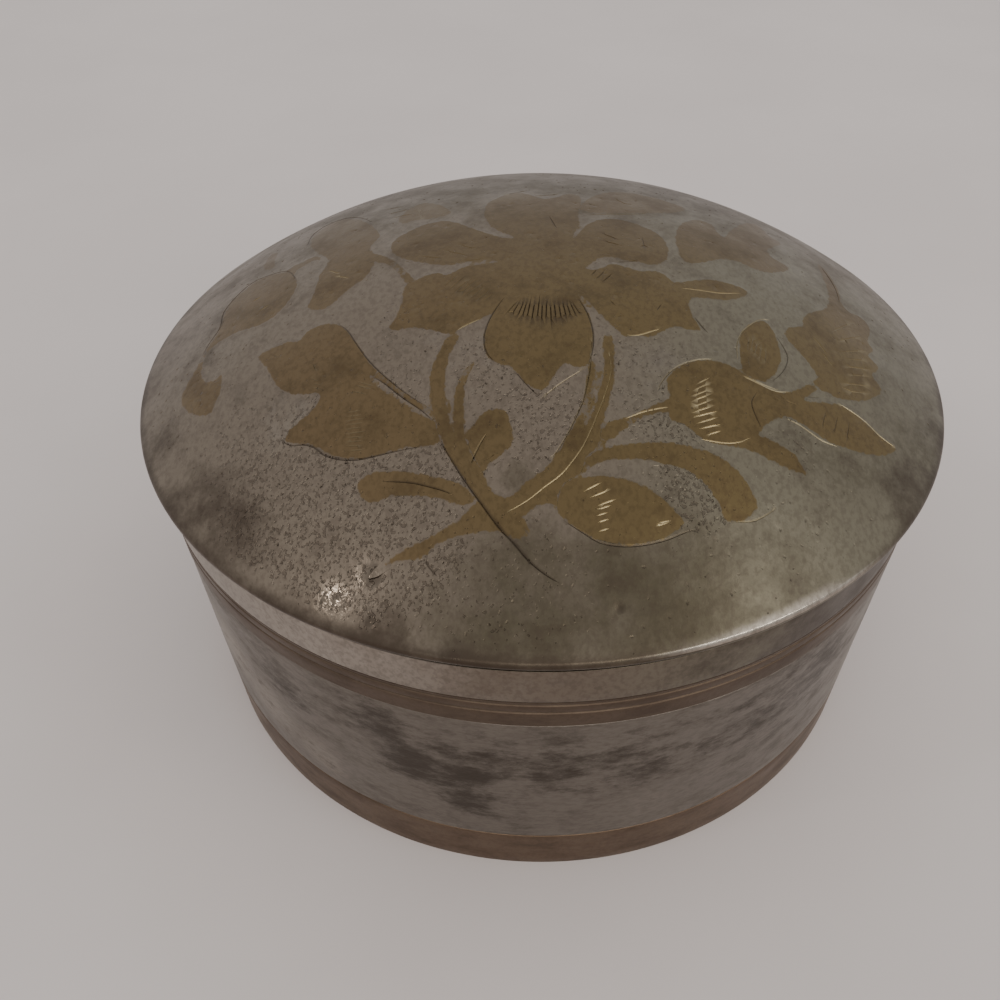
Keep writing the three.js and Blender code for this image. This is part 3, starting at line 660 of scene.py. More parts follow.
def triangulate(loops, lines, loose, keep):
    """Delaunay faces over the loops and lines; keep says which face centres belong."""
    points, edges = [], []
    for line, shut in [(loop, 1) for loop in loops] + [(line, 0) for line in lines]:
        first, count = len(points), len(line)
        points += [Vector(p) for p in line]
        edges += [(first + i, first + (i + 1) % count) for i in range(count - 1 + shut)]
    points += [Vector(p) for p in loose]
    made, _, faces, *_ = delaunay_2d_cdt(points, edges, [], 0, 1e-5)
    flat = np.array([(p.x, p.y) for p in made])
    faces = np.array([face for face in faces if len(face) == 3])
    a, b, c = (flat[faces[:, i]] for i in range(3))
    area = (b[:, 0] - a[:, 0]) * (c[:, 1] - a[:, 1]) - (b[:, 1] - a[:, 1]) * (c[:, 0] - a[:, 0])
    wanted = keep((a + b + c) / 3) & (np.abs(area) > 1e-9)
    chosen = faces[wanted]
    turned_over = area[wanted] < 0
    chosen[turned_over] = chosen[turned_over][:, ::-1]
    used, compact = np.unique(chosen, return_inverse=True)
    return flat[used], compact.reshape(-1, 3)


def border_edges(faces):
    """Directed edges that belong to one face only."""
    edges = {(int(one), int(other)): True for face in faces for one, other in zip(face, np.roll(face, -1))}
    return [edge for edge in edges if edge[::-1] not in edges]


def hexagonal(low, high):
    """Loose points in a staggered pattern over the region."""
    rows = np.arange(low[1], high[1], LOOSE_STEP * 0.866)
    return np.array([(x, y) for number, y in enumerate(rows)
                     for x in np.arange(low[0] + LOOSE_STEP / 2 * (number % 2), high[0], LOOSE_STEP)]
                    ).reshape(-1, 2)


def depth_of(points, pit_places, pit_depths):
    """The depth of the pits at the points that are their middles or rings."""
    known = {(round(x, 4), round(y, 4)): depth for (x, y), depth in zip(pit_places, pit_depths)}
    return np.array([known.get((round(x, 4), round(y, 4)), 0.0) for x, y in points])


def unevenness(points, size, amount):
    """A soft random dip at each point, from nought to the amount."""
    return np.array([amount * (0.5 + 0.5 * noise.noise(Vector(p) / size)) for p in points])


def spread(points, patches):
    """Soft patches laid over the points, each a place, a reach in millimetres and a strength."""
    share = np.zeros(len(points))
    for place, reach, strength in patches:
        gap = np.linalg.norm(points - np.array(place), axis=1) / reach
        share = np.maximum(share, strength * np.exp(-gap ** 3))
    return share


# Meshes and materials
def add_piece(name, points, faces, material, node, marks):
    """Makes a mesh piece from points in millimetres, set on the body of the node it replaces."""
    mesh = bpy.data.meshes.new(name)
    mesh.from_pydata((np.asarray(points, float) * MM).tolist(), [], [list(map(int, f)) for f in faces])
    mesh.materials.append(material)
    for mark, values in marks.items():
        layer = mesh.attributes.new(mark, "FLOAT", "POINT")
        layer.data.foreach_set("value", np.asarray(values, np.float32))
    mesh.validate()
    piece = bpy.data.objects.new(name, mesh)
    bpy.context.collection.objects.link(piece)
    mesh.shade_smooth()
    mesh.set_sharp_from_angle(angle=math.radians(SHARP_DEGREES))
    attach(piece, "root")
    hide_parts(node)
    return piece


class Graph:
    """Short calls for a material's nodes."""

    def __init__(self, name):
        self.material = bpy.data.materials.new(name)
        self.material.use_nodes = True
        self.tree = self.material.node_tree
        self.place = self.node("TexCoord", "Object")

    def join(self, source, target):
        if hasattr(source, "is_output"):
            self.tree.links.new(source, target)
        else:
            target.default_value = source

    def node(self, kind, output, inputs=None, **options):
        """An output of a new node, whose options are set first and then its inputs."""
        made = self.tree.nodes.new("ShaderNode" + kind)
        for option, value in options.items():
            setattr(made, option, value)
        for socket, source in (inputs or {}).items():
            self.join(source, made.inputs[socket])
        return made.outputs[output]

    def mapped(self, scale, shift=(0, 0, 0)):
        return self.node("Mapping", "Vector", {"Vector": self.place, "Scale": scale, "Location": shift})

    def noise(self, size, detail, rough=0.55, place=None):
        """Smooth noise whose features are about the given size in millimetres."""
        return self.node("TexNoise", "Fac", {"Scale": 1 / (size * MM), "Detail": detail,
                                             "Roughness": rough, "Vector": place or self.place})

    def math(self, kind, a, b):
        return self.node("Math", 0, {0: a, 1: b}, operation=kind)

    def between(self, value, low, high, to_low=0.0, to_high=1.0):
        """Maps a range of values smoothly onto another."""
        return self.node("MapRange", "Result", {"Value": value, "From Min": low, "From Max": high,
                                                "To Min": to_low, "To Max": to_high},
                         interpolation_type="SMOOTHSTEP")

    def mix(self, share, one, other):
        return self.node("Mix", "Result", {"Factor": share, "A": one, "B": other}, data_type="RGBA")

    def axis(self, letter):
        return self.node("SeparateXYZ", letter, {"Vector": self.place})

    def mark(self, name):
        return self.node("Attribute", "Fac", attribute_name=name)

    def bump(self, height, strength, distance, under=None):
        inputs = {"Strength": strength, "Distance": distance * MM, "Height": height}
        return self.node("Bump", "Normal", inputs if under is None else {**inputs, "Normal": under})

    def finish(self, colour, roughness, normal, metallic=1.0):
        shader = self.tree.nodes["Principled BSDF"]
        for socket, source in {"Base Color": colour, "Roughness": roughness, "Normal": normal,
                               "Metallic": metallic}.items():
            self.join(source, shader.inputs[socket])
        return self.material


PEWTER_PALE = (0.19, 0.157, 0.124, 1)
# Olive patina, also used for the painted dark reflection at the front and right of the dome
PEWTER_OLIVE_AND_SHADE = (0.09, 0.076, 0.051, 1)
PEWTER_BACK = (0.094, 0.072, 0.045, 1)
# Stain colour, also used for the painted shade along the lip
PEWTER_STAIN_AND_SHADE = (0.066, 0.05, 0.038, 1)
PEWTER_GREEN = (0.178, 0.16, 0.12, 1)
# Pale pewter, also used for the painted highlight on the lip
PEWTER_PALE_AND_HIGHLIGHT = (0.4, 0.36, 0.315, 1)
WALL_PALE = (0.192, 0.171, 0.147, 1)
WALL_STAIN = (0.068, 0.055, 0.043, 1)
# Dirt in cuts and pits, also used for the painted shade under the lip
GRIME_AND_SHADE_BROWN = (0.045, 0.033, 0.024, 1)
BRASS_DULL = (0.148, 0.105, 0.059, 1)
BRASS_GOLD = (0.143, 0.105, 0.052, 1)
BRASS_BACK = (0.114, 0.078, 0.038, 1)
BRASS_BROWN = (0.084, 0.058, 0.032, 1)
# Painted glint on the engraved cuts
PAINTED_GLINT = (0.55, 0.46, 0.28, 1)
FOOT_BROWN = (0.165, 0.115, 0.078, 1)
BAND_BROWN = (0.118, 0.087, 0.064, 1)
BAND_DARK = (0.075, 0.052, 0.039, 1)


def faint(g, share, strength):
    return g.math("MULTIPLY", share, strength)


def waver(g, field, amount):
    """Noise made to go to both sides of nought."""
    return faint(g, g.math("SUBTRACT", field, 0.5), amount)


def flecked(g, tone, colour, field, low, high, strength):
    """The tone with flecks of a colour where the noise is high."""
    return g.mix(g.between(field, low, high, 0.0, strength), tone, colour)


def ragged(g, mark, grain, reach):
    """A mark whose edge is broken up by noise."""
    return g.between(g.math("ADD", g.mark(mark), waver(g, grain, reach)), 0.12, 0.9)


def pitting(g):
    """Fine irregular pits, as many as the pitted mark allows."""
    field = g.noise(0.5, 1.5, 0.6, g.mapped((1.2, 0.9, 1), (0.013, 0.007, 0.005)))
    shy = g.math("MULTIPLY", g.math("SUBTRACT", 1.0, g.mark("pitted")), 0.24)
    return g.between(g.math("ADD", field, shy), 0.37, 0.47, 1.0, 0.0)


def brass_tone(g, cloud, grain):
    tone = g.mix(g.between(g.axis("X"), -0.03, 0.012), BRASS_DULL, BRASS_GOLD)
    tone = g.mix(g.between(g.axis("Y"), -0.012, 0.012), tone, BRASS_BACK)
    tone = flecked(g, tone, BRASS_BROWN, cloud, 0.46, 0.72, 0.6)
    return flecked(g, tone, BRASS_BROWN, grain, 0.42, 0.68, 0.4)


def dirt_shade_and_glint(g, tone):
    """Dirt lies in the recesses, painted shade lies in the grooves under the lip, and glints are painted
    on the cuts.
    """
    tone = g.mix(faint(g, g.mark("grime_and_shade"), 0.65), tone, GRIME_AND_SHADE_BROWN)
    return g.mix(faint(g, g.mark("painted_glint"), 0.85), tone, PAINTED_GLINT)


def pewter_tone(g, cloud, grain):
    """Pewter paler at the left, greener at the right and darker at the back."""
    tone = g.mix(g.between(g.axis("X"), 0.0, 0.025), PEWTER_PALE, PEWTER_GREEN)
    # Olive patina, with painted shade for the dark reflection at the front and right of the dome
    tone = g.mix(ragged(g, "olive_and_shade", cloud, 0.9), tone, PEWTER_OLIVE_AND_SHADE)
    tone = g.mix(g.between(g.math("ADD", g.axis("Y"), waver(g, cloud, 0.06)), -0.008, 0.03),
                 tone, PEWTER_BACK)
    # Pale patches, the lighter left of the skirt, and the painted highlight on one stretch of the lip
    tone = g.mix(faint(g, ragged(g, "pale_and_highlight", cloud, 1.2), 0.9), tone, PEWTER_PALE_AND_HIGHLIGHT)
    # Stains, the darker front right of the skirt, and the painted shade along the lip outside the
    # highlighted stretch
    tone = g.mix(faint(g, ragged(g, "stain_and_shade", cloud, 1.5), 0.9), tone, PEWTER_STAIN_AND_SHADE)
    tone = flecked(g, tone, PEWTER_STAIN_AND_SHADE, cloud, 0.5, 0.76, 0.26)
    return flecked(g, tone, PEWTER_STAIN_AND_SHADE, grain, 0.4, 0.66, 0.28)


def inlaid(name):
    """Old pewter with brass let in flush: one metal passes into the other along a ragged seam."""
    g = Graph(name)
    cloud = g.noise(6.5, 5, 0.7)
    grain = g.noise(0.75, 2, 0.62, g.mapped((1.25, 0.85, 1)))
    pits = pitting(g)
    seam = g.math("ADD", g.mark("seam"), waver(g, grain, 0.75))
    brass_share = g.between(g.math("ADD", seam, g.mark("faded")), -0.1, 0.1, 1.0, 0.0)
    tone = g.mix(brass_share, pewter_tone(g, cloud, grain), brass_tone(g, cloud, grain))
    tone = dirt_shade_and_glint(g, g.mix(faint(g, pits, 0.42), tone, PEWTER_STAIN_AND_SHADE))
    rough = g.math("SUBTRACT", g.between(cloud, 0.3, 0.75, 0.34, 0.47), faint(g, g.mark("polish"), 0.28))
    relief = g.bump(grain, 0.3, 0.08)
    return g.finish(tone, rough, g.bump(faint(g, pits, -1.0), 0.75, 0.13, relief))


def plain_pewter(name):
    """Old pewter of the wall, its stains drawn out along the turning."""
    g = Graph(name)
    cloud = g.noise(4.5, 8, 0.76, g.mapped((0.7, 0.7, 1.5)))
    grain = g.noise(0.7, 2, 0.62, g.mapped((0.6, 0.6, 1.4)))
    tone = g.mix(faint(g, ragged(g, "pale_and_highlight", cloud, 2.4), 0.9), WALL_PALE, PEWTER_PALE_AND_HIGHLIGHT)
    tone = flecked(g, tone, WALL_STAIN, cloud, 0.46, 0.7, 0.55)
    tone = g.mix(ragged(g, "stain_and_shade", cloud, 2.6), tone, WALL_STAIN)
    tone = dirt_shade_and_glint(g, flecked(g, tone, WALL_STAIN, grain, 0.4, 0.66, 0.25))
    return g.finish(tone, g.between(cloud, 0.3, 0.75, 0.32, 0.48), g.bump(grain, 0.35, 0.07))


def band_metal(name):
    """Brown patinated brass, paler at the foot."""
    g = Graph(name)
    patch = g.noise(5, 5, 0.65, g.mapped((0.6, 0.6, 1.6)))
    grain = g.noise(0.6, 2, 0.65)
    tone = g.mix(g.between(g.axis("Z"), 0.01, 0.03), FOOT_BROWN, BAND_BROWN)
    tone = flecked(g, tone, BAND_DARK, patch, 0.45, 0.72, 0.6)
    tone = dirt_shade_and_glint(g, flecked(g, tone, BAND_DARK, grain, 0.42, 0.68, 0.3))
    return g.finish(tone, g.between(patch, 0.3, 0.7, 0.37, 0.49), g.bump(grain, 0.3, 0.06))


lid_pewter = inlaid("lid_pewter")
plate_brass = inlaid("plate_brass")
body_pewter = plain_pewter("body_pewter")
band_brass = band_metal("band_brass")


# Turned pieces
def rounded(profile, radius, steps=3):
    """The profile with each sharp corner turned into a short arc."""
    points = [np.array(point, float) for point in profile]
    made = [points[0]]
    for before, corner, after in zip(points, points[1:], points[2:]):
        back, ahead = before - corner, after - corner
        lengths = np.linalg.norm(back), np.linalg.norm(ahead)
        reach = min(radius, lengths[0] * 0.45, lengths[1] * 0.45)
        start = corner + back / lengths[0] * reach
        end = corner + ahead / lengths[1] * reach
        for share in np.linspace(0, 1, steps + 1):
            made.append(start * (1 - share) ** 2 + corner * 2 * share * (1 - share) + end * share ** 2)
    return made + [points[-1]]


def divided(profile, longest):
    """The profile with its long straight stretches cut into shorter ones."""
    made = [np.array(profile[0], float)]
    for point in profile[1:]:
        last, here = made[-1], np.array(point, float)
        count = max(1, math.ceil(np.linalg.norm(here - last) / longest))
        made += [last + (here - last) * (number + 1) / count for number in range(count)]
    return made


def turned_mesh(profile, closed=False):
    """Points and faces of a profile of radius and height turned round the axis."""
    angles = np.arange(TURN_STEPS) * 2 * math.pi / TURN_STEPS
    rows, points, faces = [], [], []
    for radius, z in np.array(profile):
        if radius < 1e-9:
            rows.append([len(points)] * TURN_STEPS)
            points.append((0, 0, z))
            continue
        rows.append(list(range(len(points), len(points) + TURN_STEPS)))
        points += [(radius * math.cos(a), radius * math.sin(a), z) for a in angles]
    for low, high in list(zip(rows, rows[1:])) + ([(rows[-1], rows[0])] if closed else []):
        for i in range(TURN_STEPS):
            j = (i + 1) % TURN_STEPS
            faces.append(list(dict.fromkeys([low[i], low[j], high[j], high[i]])))
    return np.array(points, float), faces


def worn(points, amount, size):
    """Pushes points in along their radius by a soft random unevenness, never outwards."""
    made = np.array(points, float)
    radius = np.hypot(made[:, 0], made[:, 1])
    share = unevenness(made, size, amount) / np.maximum(radius, 1)
    made[:, :2] *= np.where(radius > 1, 1 - share, 1)[:, None]
    return made


def lip_arc():
    """The rounding of the lip, from the dome's slope round to its underside."""
    slope = DOME_RISE * DOME_POWER / LIP_RADIUS
    steepest = math.atan(slope)
    middle_z = LIP_HEIGHT + slope * LIP_ROUND - LIP_ROUND / math.cos(steepest)
    last = -math.asin(min(1, (middle_z - (LIP_HEIGHT - LIP_THICKNESS)) / LIP_ROUND))
    angles = np.linspace(math.pi / 2 - steepest, last, 9)
    return [(LIP_RADIUS - LIP_ROUND + LIP_ROUND * math.cos(a), middle_z + LIP_ROUND * math.sin(a))
            for a in angles]


def lid_profile():
    """The lid from its rim round the outside, up the bore and under the dome."""
    rim_radius = LIP_RADIUS - LIP_OVERHANG
    groove_radius = rim_radius - RIM_GROOVE
    lip_under = LIP_HEIGHT - LIP_THICKNESS
    bead_top = lip_under - RIM_GROOVE
    bead_under = bead_top - BEAD_HEIGHT
    skirt_top = bead_under - RIM_GROOVE
    bore = side_radius(LID_BASE) - WALL
    seat = side_radius(LID_BASE) - BAND_THICKNESS - HAIRLINE
    lip = lip_arc()
    outside = rounded([
        lip[-1], (groove_radius, lip_under), (groove_radius, bead_top), (rim_radius, bead_top),
        (rim_radius, bead_under), (groove_radius, bead_under), (groove_radius, skirt_top),
        (side_radius(skirt_top), skirt_top), (side_radius(BAND_TOP), BAND_TOP), (seat, BAND_TOP),
        (seat, LID_BASE), (bore, LID_BASE), (bore, float(dome_height(bore)) - DOME_WALL),
    ], LID_EDGE)
    inside = [(bore * share, float(dome_height(bore * share)) - DOME_WALL)
              for share in np.linspace(1, 0, 14)]
    return [(RIM, float(dome_height(RIM)))] + lip[:-1] + divided(outside, LID_STRETCH) + inside[1:]


def on_dome_patches(points, patches):
    """Patches of the dome laid over points, with nothing on the skirt and the inside."""
    placed = [(on_dome(x, y), reach, strength) for x, y, reach, strength in patches]
    return spread(points, placed) * (points[:, 2] > dome_height(np.hypot(*points[:, :2].T)) - 1)


def dome_marks(points):
    """Where the lid is olive, stained, pitted, faded, polished or pale; the olive is partly painted dark
    reflection, the lip gets painted shade and on one stretch a painted highlight, and the skirt is drawn
    lighter at the left and darker at the front right.
    """
    x, y, z = points.T
    radius = np.hypot(x, y)
    at_lip = np.clip((radius - RIM + 0.3) / 0.8, 0, 1) * (z > LIP_HEIGHT - 0.6)
    at_edge = np.clip((radius - LIP_RADIUS + 0.4) / 0.18, 0, 1) * (z > LIP_HEIGHT - 0.3) * at_lip
    on_skirt = (z < LIP_HEIGHT - LIP_THICKNESS - 0.1) & (radius > LIP_RADIUS - 5)
    # One stretch of the lip gets a painted highlight and a smoother finish instead of painted shade
    highlight_stretch = np.exp(-((np.degrees(np.arctan2(y, x)) - HIGHLIGHT_MIDDLE) / HIGHLIGHT_REACH) ** 2)
    # The skirt is drawn darker at the front right and lighter at the left
    skirt_darker_front_right = on_skirt * np.clip((x - 8) / 30, 0, 0.9) * np.clip((28 - y) / 30, 0, 1)
    skirt_bright = on_skirt * np.clip((8 - x - np.clip(y, 0, 50)) / 40, 0, 0.8)
    # Painted highlight: a bright streak on the lip's edge and a fainter band over the lip
    lip_painted_highlight = (0.15 * at_lip + 1.4 * at_edge) * highlight_stretch
    olive_and_shade, stain_and_shade, faded, polish, pale_and_highlight = (on_dome_patches(points, patches) for patches in (
        OLIVE_AND_SHADE_PATCHES, STAIN_PATCHES, FADED_BRASS, POLISHED, BRIGHT_PATCHES))
    return {"olive_and_shade": olive_and_shade, "faded": faded,
            # Painted shade along the lip outside the highlighted stretch
            "stain_and_shade": np.maximum.reduce([stain_and_shade, 0.7 * at_lip * (1 - highlight_stretch), skirt_darker_front_right]),
            "pitted": np.clip(pit_density(points[:, :2]) / 1.8, 0, 1) * (1 - at_lip) * (1 - on_skirt),
            "polish": np.maximum(0.85 * at_edge * highlight_stretch, polish),
            "pale_and_highlight": np.maximum.reduce([pale_and_highlight, skirt_bright, lip_painted_highlight])}


def cut_marks(groove, painted_glint, *hollows):
    """Dirt and painted glint of grooves, and the dirt of hollows, each with the depth that holds most."""
    dirt = [np.clip(groove / GROOVE_DIRT, 0, 1) * (1 - painted_glint)]
    dirt += [np.clip(depth / full, 0, 0.7) for depth, full in hollows]
    return {"grime_and_shade": np.maximum.reduce(dirt), "painted_glint": painted_glint * np.clip(groove / FULL_PAINTED_GLINT, 0, 1)}


def dome_top():
    """The pewter of the dome round the plates: places, faces, and what marks each point."""
    low, high = np.full(2, -LIP_RADIUS), np.full(2, LIP_RADIUS)
    angles = np.arange(TURN_STEPS) * 2 * math.pi / TURN_STEPS
    loops = [np.c_[np.cos(angles), np.sin(angles)] * RIM]
    for loop_set in plate_loops.values():
        loops += loop_set["opening"] + loop_set["outer"]
    pit_places, pit_depths = pits_within(any_plate_distance(PIT_PLACES) > 0)
    loose = hexagonal(low, high)
    loose = loose[np.hypot(*loose.T) < RIM - 0.6]
    flat, faces = triangulate(
        loops, stroke_lines(low, high), np.vstack([pit_places, dent_points(), loose]),
        lambda centres: (any_plate_distance(centres) > INLAY_GAP) & (np.hypot(*centres.T) < RIM))
    seam = np.clip(any_plate_distance(flat) - INLAY_GAP, 0, SEAM_REACH)
    groove, painted_glint = grooves(flat)
    pit = depth_of(flat, pit_places, pit_depths)
    dent = dent_depth(flat)
    radius = np.hypot(*flat.T)
    wave = unevenness(np.c_[flat, np.zeros(len(flat))], WAVE_SIZE, DOME_WAVE)
    wave *= np.clip((RIM - radius) / WAVE_FADE, 0, 1) * np.clip(seam / SEAM_REACH, 0, 1)
    z = dome_height(radius) - np.maximum.reduce([groove, pit, dent]) - wave
    marks = cut_marks(groove, painted_glint, (pit, PIT_DIRT), (dent, DENT_DIRT))
    return np.c_[flat, z], faces, {**marks, "seam": seam}


def make_lid():
    points, faces, marks = dome_top()
    # Walls of the openings go down to a common seat under the plates
    border = [edge for edge in border_edges(faces)
              if (np.hypot(*points[list(edge), :2].T) <= RIM - 0.05).any()]
    above = list(dict.fromkeys(index for edge in border for index in edge))
    lowered = {index: len(points) + number for number, index in enumerate(above)}
    faces = [list(face) for face in faces]
    faces += [[other, one, lowered[one], lowered[other]] for one, other in border]
    turned_points, turned_faces = turned_mesh(lid_profile()[::-1])
    first = len(points) + len(above)
    faces += [[first + index for index in face] for face in turned_faces]
    points = np.vstack([points, points[above] - (0, 0, INLAY_THICKNESS), turned_points])
    radius = np.hypot(turned_points[:, 0], turned_points[:, 1])
    skirt_top = LIP_HEIGHT - LIP_THICKNESS - BEAD_HEIGHT - 2 * RIM_GROOVE
    # Painted shade in the grooves under the overhanging lip, and on the inside of the lid
    shaded_under_lip = (radius < LIP_RADIUS - LIP_OVERHANG - 0.12) & (turned_points[:, 2] > skirt_top - 0.1)
    for mark, on_wall, on_turned in (("grime_and_shade", 1.0, 0.9 * shaded_under_lip), ("seam", 0.0, SEAM_REACH),
                                     ("painted_glint", 0.0, 0.0)):
        marks[mark] = np.concatenate([marks[mark], np.full(len(above), on_wall),
                                      on_turned * np.ones(len(turned_points))])
    return add_piece("pewter_lid", points, faces, lid_pewter, "lid",
                     {**marks, **dome_marks(points)})


def make_plate(name):
    low, high = plate_spans[name]
    pit_places, pit_depths = pits_within(cut_distance(PIT_PLACES, name) < 0)
    loose = hexagonal(low, high)
    loose = loose[cut_distance(loose, name) < -0.4]
    flat, faces = triangulate(plate_loops[name]["edge"] + plate_loops[name]["inner"],
                              stroke_lines(low, high), np.vstack([pit_places, loose]),
                              lambda centres: cut_distance(centres, name) < 0)
    groove, painted_glint = grooves(flat)
    pit = depth_of(flat, pit_places, pit_depths) * PLATE_PIT_SHARE
    top = dome_height(np.hypot(*flat.T))
    points = np.vstack([np.c_[flat, top - np.maximum(groove, pit)],
                        np.c_[flat, top - INLAY_THICKNESS]])
    count = len(flat)
    marks = cut_marks(groove, painted_glint, (pit, PIT_DIRT))
    marks["grime_and_shade"] = np.concatenate([marks["grime_and_shade"], np.ones(count)])
    marks["painted_glint"] = np.concatenate([marks["painted_glint"], np.zeros(count)])
    marks["seam"] = np.tile(-np.clip(-cut_distance(flat, name), 0, SEAM_REACH), 2)
    marks.update(dome_marks(points))
    marks["pitted"] = np.clip(marks["pitted"], 0.3, 0.45)
    made = [list(face) for face in faces]
    made += [[index + count for index in face[::-1]] for face in faces]
    made += [[other, one, one + count, other + count] for one, other in border_edges(faces)]
    return add_piece(f"plate_{name}", points, made, plate_brass, f"inlay_{name}",
                     marks)


def make_band(name, ring, wear, node):
    """A turned ring with dirt in its engraved lines."""
    points, faces = turned_mesh(ring[:-1], closed=True)
    radius = np.hypot(points[:, 0], points[:, 1])
    in_line = (side_radius(points[:, 2]) - radius > 0.05) & (points[:, 2] > LID_BASE)
    points = worn(points, *wear) if wear else points
    return add_piece(name, points, faces, band_brass, node,
                     {"grime_and_shade": 0.9 * in_line, "painted_glint": np.zeros(len(points))})


def make_lid_band():
    inner = side_radius(LID_BASE) - BAND_THICKNESS
    profile = [(inner, LID_BASE + HAIRLINE), (side_radius(LID_BASE), LID_BASE + HAIRLINE)]
    for drop in reversed(BAND_LINE_DROPS):
        z = BAND_TOP - drop
        profile += [(side_radius(z), z - BAND_LINE), (side_radius(z) - BAND_LINE, z),
                    (side_radius(z), z + BAND_LINE)]
    top = BAND_TOP - HAIRLINE
    profile += [(side_radius(top), top), (inner, top), profile[0]]
    ring = divided(rounded(profile, BAND_EDGE, 2), BAND_STRETCH)
    return make_band("band_lid", ring, None, "lid_band")


def make_foot_band():
    inner = side_radius(0) - BAND_THICKNESS
    top = FOOT_TOP - HAIRLINE
    profile = [(inner, 0), (side_radius(0), 0), (side_radius(top), top), (inner, top), (inner, 0)]
    ring = divided(rounded(profile, FOOT_EDGE), BODY_STRETCH)
    return make_band("band_foot", ring, FOOT_WEAR, "foot_band")


# Stained and bright places of the wall: place, reach and strength in millimetres
WALL_STAINS = [((-18, -49, 28), 5, 0.8), ((-15, -50, 23), 6, 0.85), ((-9, -52, 22), 6, 0.8),
               ((-4, -53, 27), 4, 0.65), ((-8, -52, 16), 4, 0.8), ((3, -53, 25), 5, 0.65),
               ((12, -51, 24), 7, 0.5), ((24, -47, 26), 7, 0.5), ((35, -40, 26), 9, 0.6),
               ((-31, -42, 25), 5, 0.45), ((10, 52, 20), 10, 0.7), ((-38, 36, 14), 8, 0.6),
               ((40, 34, 24), 8, 0.5)]
WALL_BRIGHT = [((-42, -32, 22), 8, 0.7), ((-36, -38, 17), 7, 0.6), ((-28, -43, 13), 6, 0.5),
               ((14, -50, 13), 7, 0.3), ((46, -24, 16), 9, 0.5)]


def make_body():
    bore = side_radius(LID_BASE) - WALL
    collar_radius = bore - FIT_GAP
    collar_inner = collar_radius - COLLAR_WALL
    collar_foot = BODY_HEIGHT - COLLAR_DROP
    floor_top = BASE_RECESS + FLOOR_THICKNESS
    seat = side_radius(0) - BAND_THICKNESS - HAIRLINE
    recess = side_radius(0) - BAND_SEAT - FOOT_RING_WIDTH
    shoulder = BODY_HEIGHT + FIT_GAP - HAIRLINE
    profile = rounded([
        (0, BASE_RECESS), (recess, BASE_RECESS), (recess, 0), (seat, 0), (seat, FOOT_TOP),
        (side_radius(FOOT_TOP), FOOT_TOP), (side_radius(BODY_HEIGHT), shoulder),
        (collar_radius, shoulder), (collar_radius, COLLAR_TOP), (collar_inner, COLLAR_TOP),
        (collar_inner, collar_foot), (side_radius(collar_foot) - WALL, collar_foot),
        (side_radius(floor_top) - WALL, floor_top), (0, floor_top),
    ], BODY_EDGE)
    points, faces = turned_mesh(divided(profile, BODY_STRETCH))
    points = worn(points, *BODY_WEAR)
    radius = np.hypot(points[:, 0], points[:, 1])
    under = (points[:, 2] < FOOT_TOP) & (side_radius(points[:, 2]) - radius > 0.3)
    marks = {"grime_and_shade": np.where(under & (radius > recess), 0.6, 0.0),
             "painted_glint": np.zeros(len(points)),
             "pale_and_highlight": spread(points, WALL_BRIGHT), "stain_and_shade": spread(points, WALL_STAINS)}
    return add_piece("pewter_body", points, faces, body_pewter, "box_body", marks)


make_lid()
for plate in plate_names:
    make_plate(plate)
make_lid_band()
make_foot_band()
make_body()


# Stage
def make_floor():
    mesh = bpy.data.meshes.new("floor")
    reach = 3.0
    mesh.from_pydata([(-reach, -reach, 0), (reach, -reach, 0), (reach, reach, 0), (-reach, reach, 0)],
                     [], [(0, 1, 2, 3)])
    floor = bpy.data.objects.new("floor", mesh)
    bpy.context.collection.objects.link(floor)
    g = Graph("paper")
    tone = g.mix(g.between(g.noise(90, 4), 0.3, 0.7), (0.66, 0.6, 0.585, 1), (0.7, 0.64, 0.625, 1))
    mesh.materials.append(g.finish(tone, 0.6, g.bump(g.noise(1.2, 3), 0.05, 0.05), 0.0))


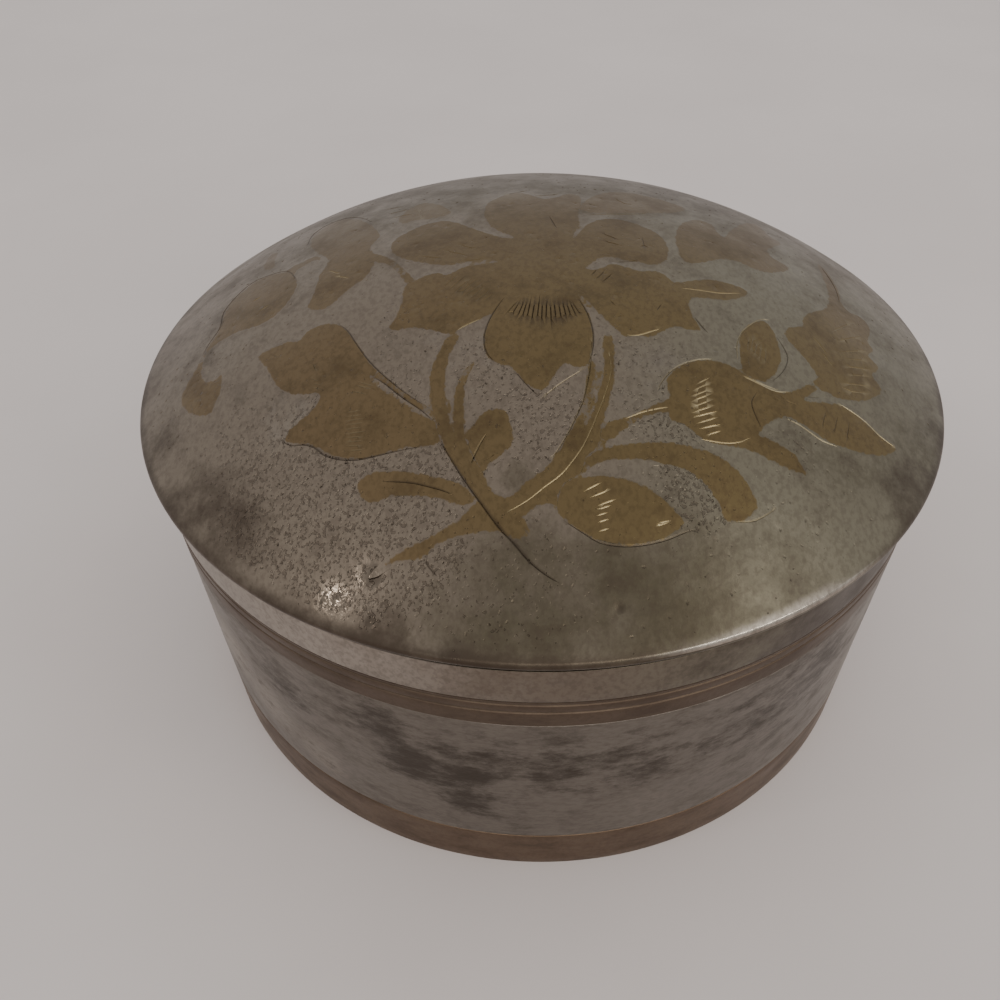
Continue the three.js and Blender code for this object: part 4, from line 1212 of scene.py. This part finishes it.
def make_light(name, place, aim, size, power, colour):
    light = bpy.data.lights.new(name, "AREA")
    light.shape = "RECTANGLE"
    light.size, light.size_y = size
    light.energy = power
    light.color = colour
    lamp = bpy.data.objects.new(name, light)
    lamp.location = place
    lamp.rotation_euler = (Vector(aim) - Vector(place)).to_track_quat("-Z", "Y").to_euler()
    lamp.visible_camera = False
    bpy.context.collection.objects.link(lamp)


def make_world():
    world = bpy.data.worlds.new("room")
    world.use_nodes = True
    background = world.node_tree.nodes["Background"]
    background.inputs["Color"].default_value = (0.86, 0.84, 0.82, 1)
    background.inputs["Strength"].default_value = 1.0
    bpy.context.scene.world = world


# Camera, from a fit of the rings of the box in the photograph
CAMERA_BACK = 2.1535
CAMERA_UP = 1.4902
YAW, PITCH, ROLL = -0.0485, 0.7466, 0.0220
FOCAL_PIXELS = 1000
FRAME_PIXELS = 1000
SENSOR = 36


def make_camera():
    data = bpy.data.cameras.new("camera")
    data.sensor_width = SENSOR
    data.sensor_fit = "HORIZONTAL"
    data.lens = SENSOR * FOCAL_PIXELS / FRAME_PIXELS
    forward = Vector((math.sin(YAW) * math.cos(PITCH), math.cos(YAW) * math.cos(PITCH), -math.sin(PITCH)))
    level = Vector((math.cos(YAW), -math.sin(YAW), 0))
    down = forward.cross(level)
    right = level * math.cos(ROLL) + down * math.sin(ROLL)
    below = down * math.cos(ROLL) - level * math.sin(ROLL)
    camera = bpy.data.objects.new("camera", data)
    turn = Matrix((right, -below, -forward)).transposed().to_4x4()
    place = Vector((0, -CAMERA_BACK * LIP_RADIUS, LIP_HEIGHT + CAMERA_UP * LIP_RADIUS)) * MM
    camera.matrix_world = Matrix.Translation(place) @ turn
    bpy.context.collection.objects.link(camera)
    bpy.context.scene.camera = camera


make_floor()
make_world()
make_light("key", (0.64, -0.27, 0.7), (0, 0, 0.05), (0.24, 0.24), 0.45, (1.0, 0.97, 0.9))
make_light("strip", (0.36, -0.72, 0.5), (0, 0, 0.05), (1.4, 0.06), 2.4, (1.0, 0.96, 0.88))
make_light("spark", (-0.55, -0.257, 0.71), (0, 0, 0.05), (0.04, 0.04), 0.16, (1.0, 0.93, 0.88))
make_camera()
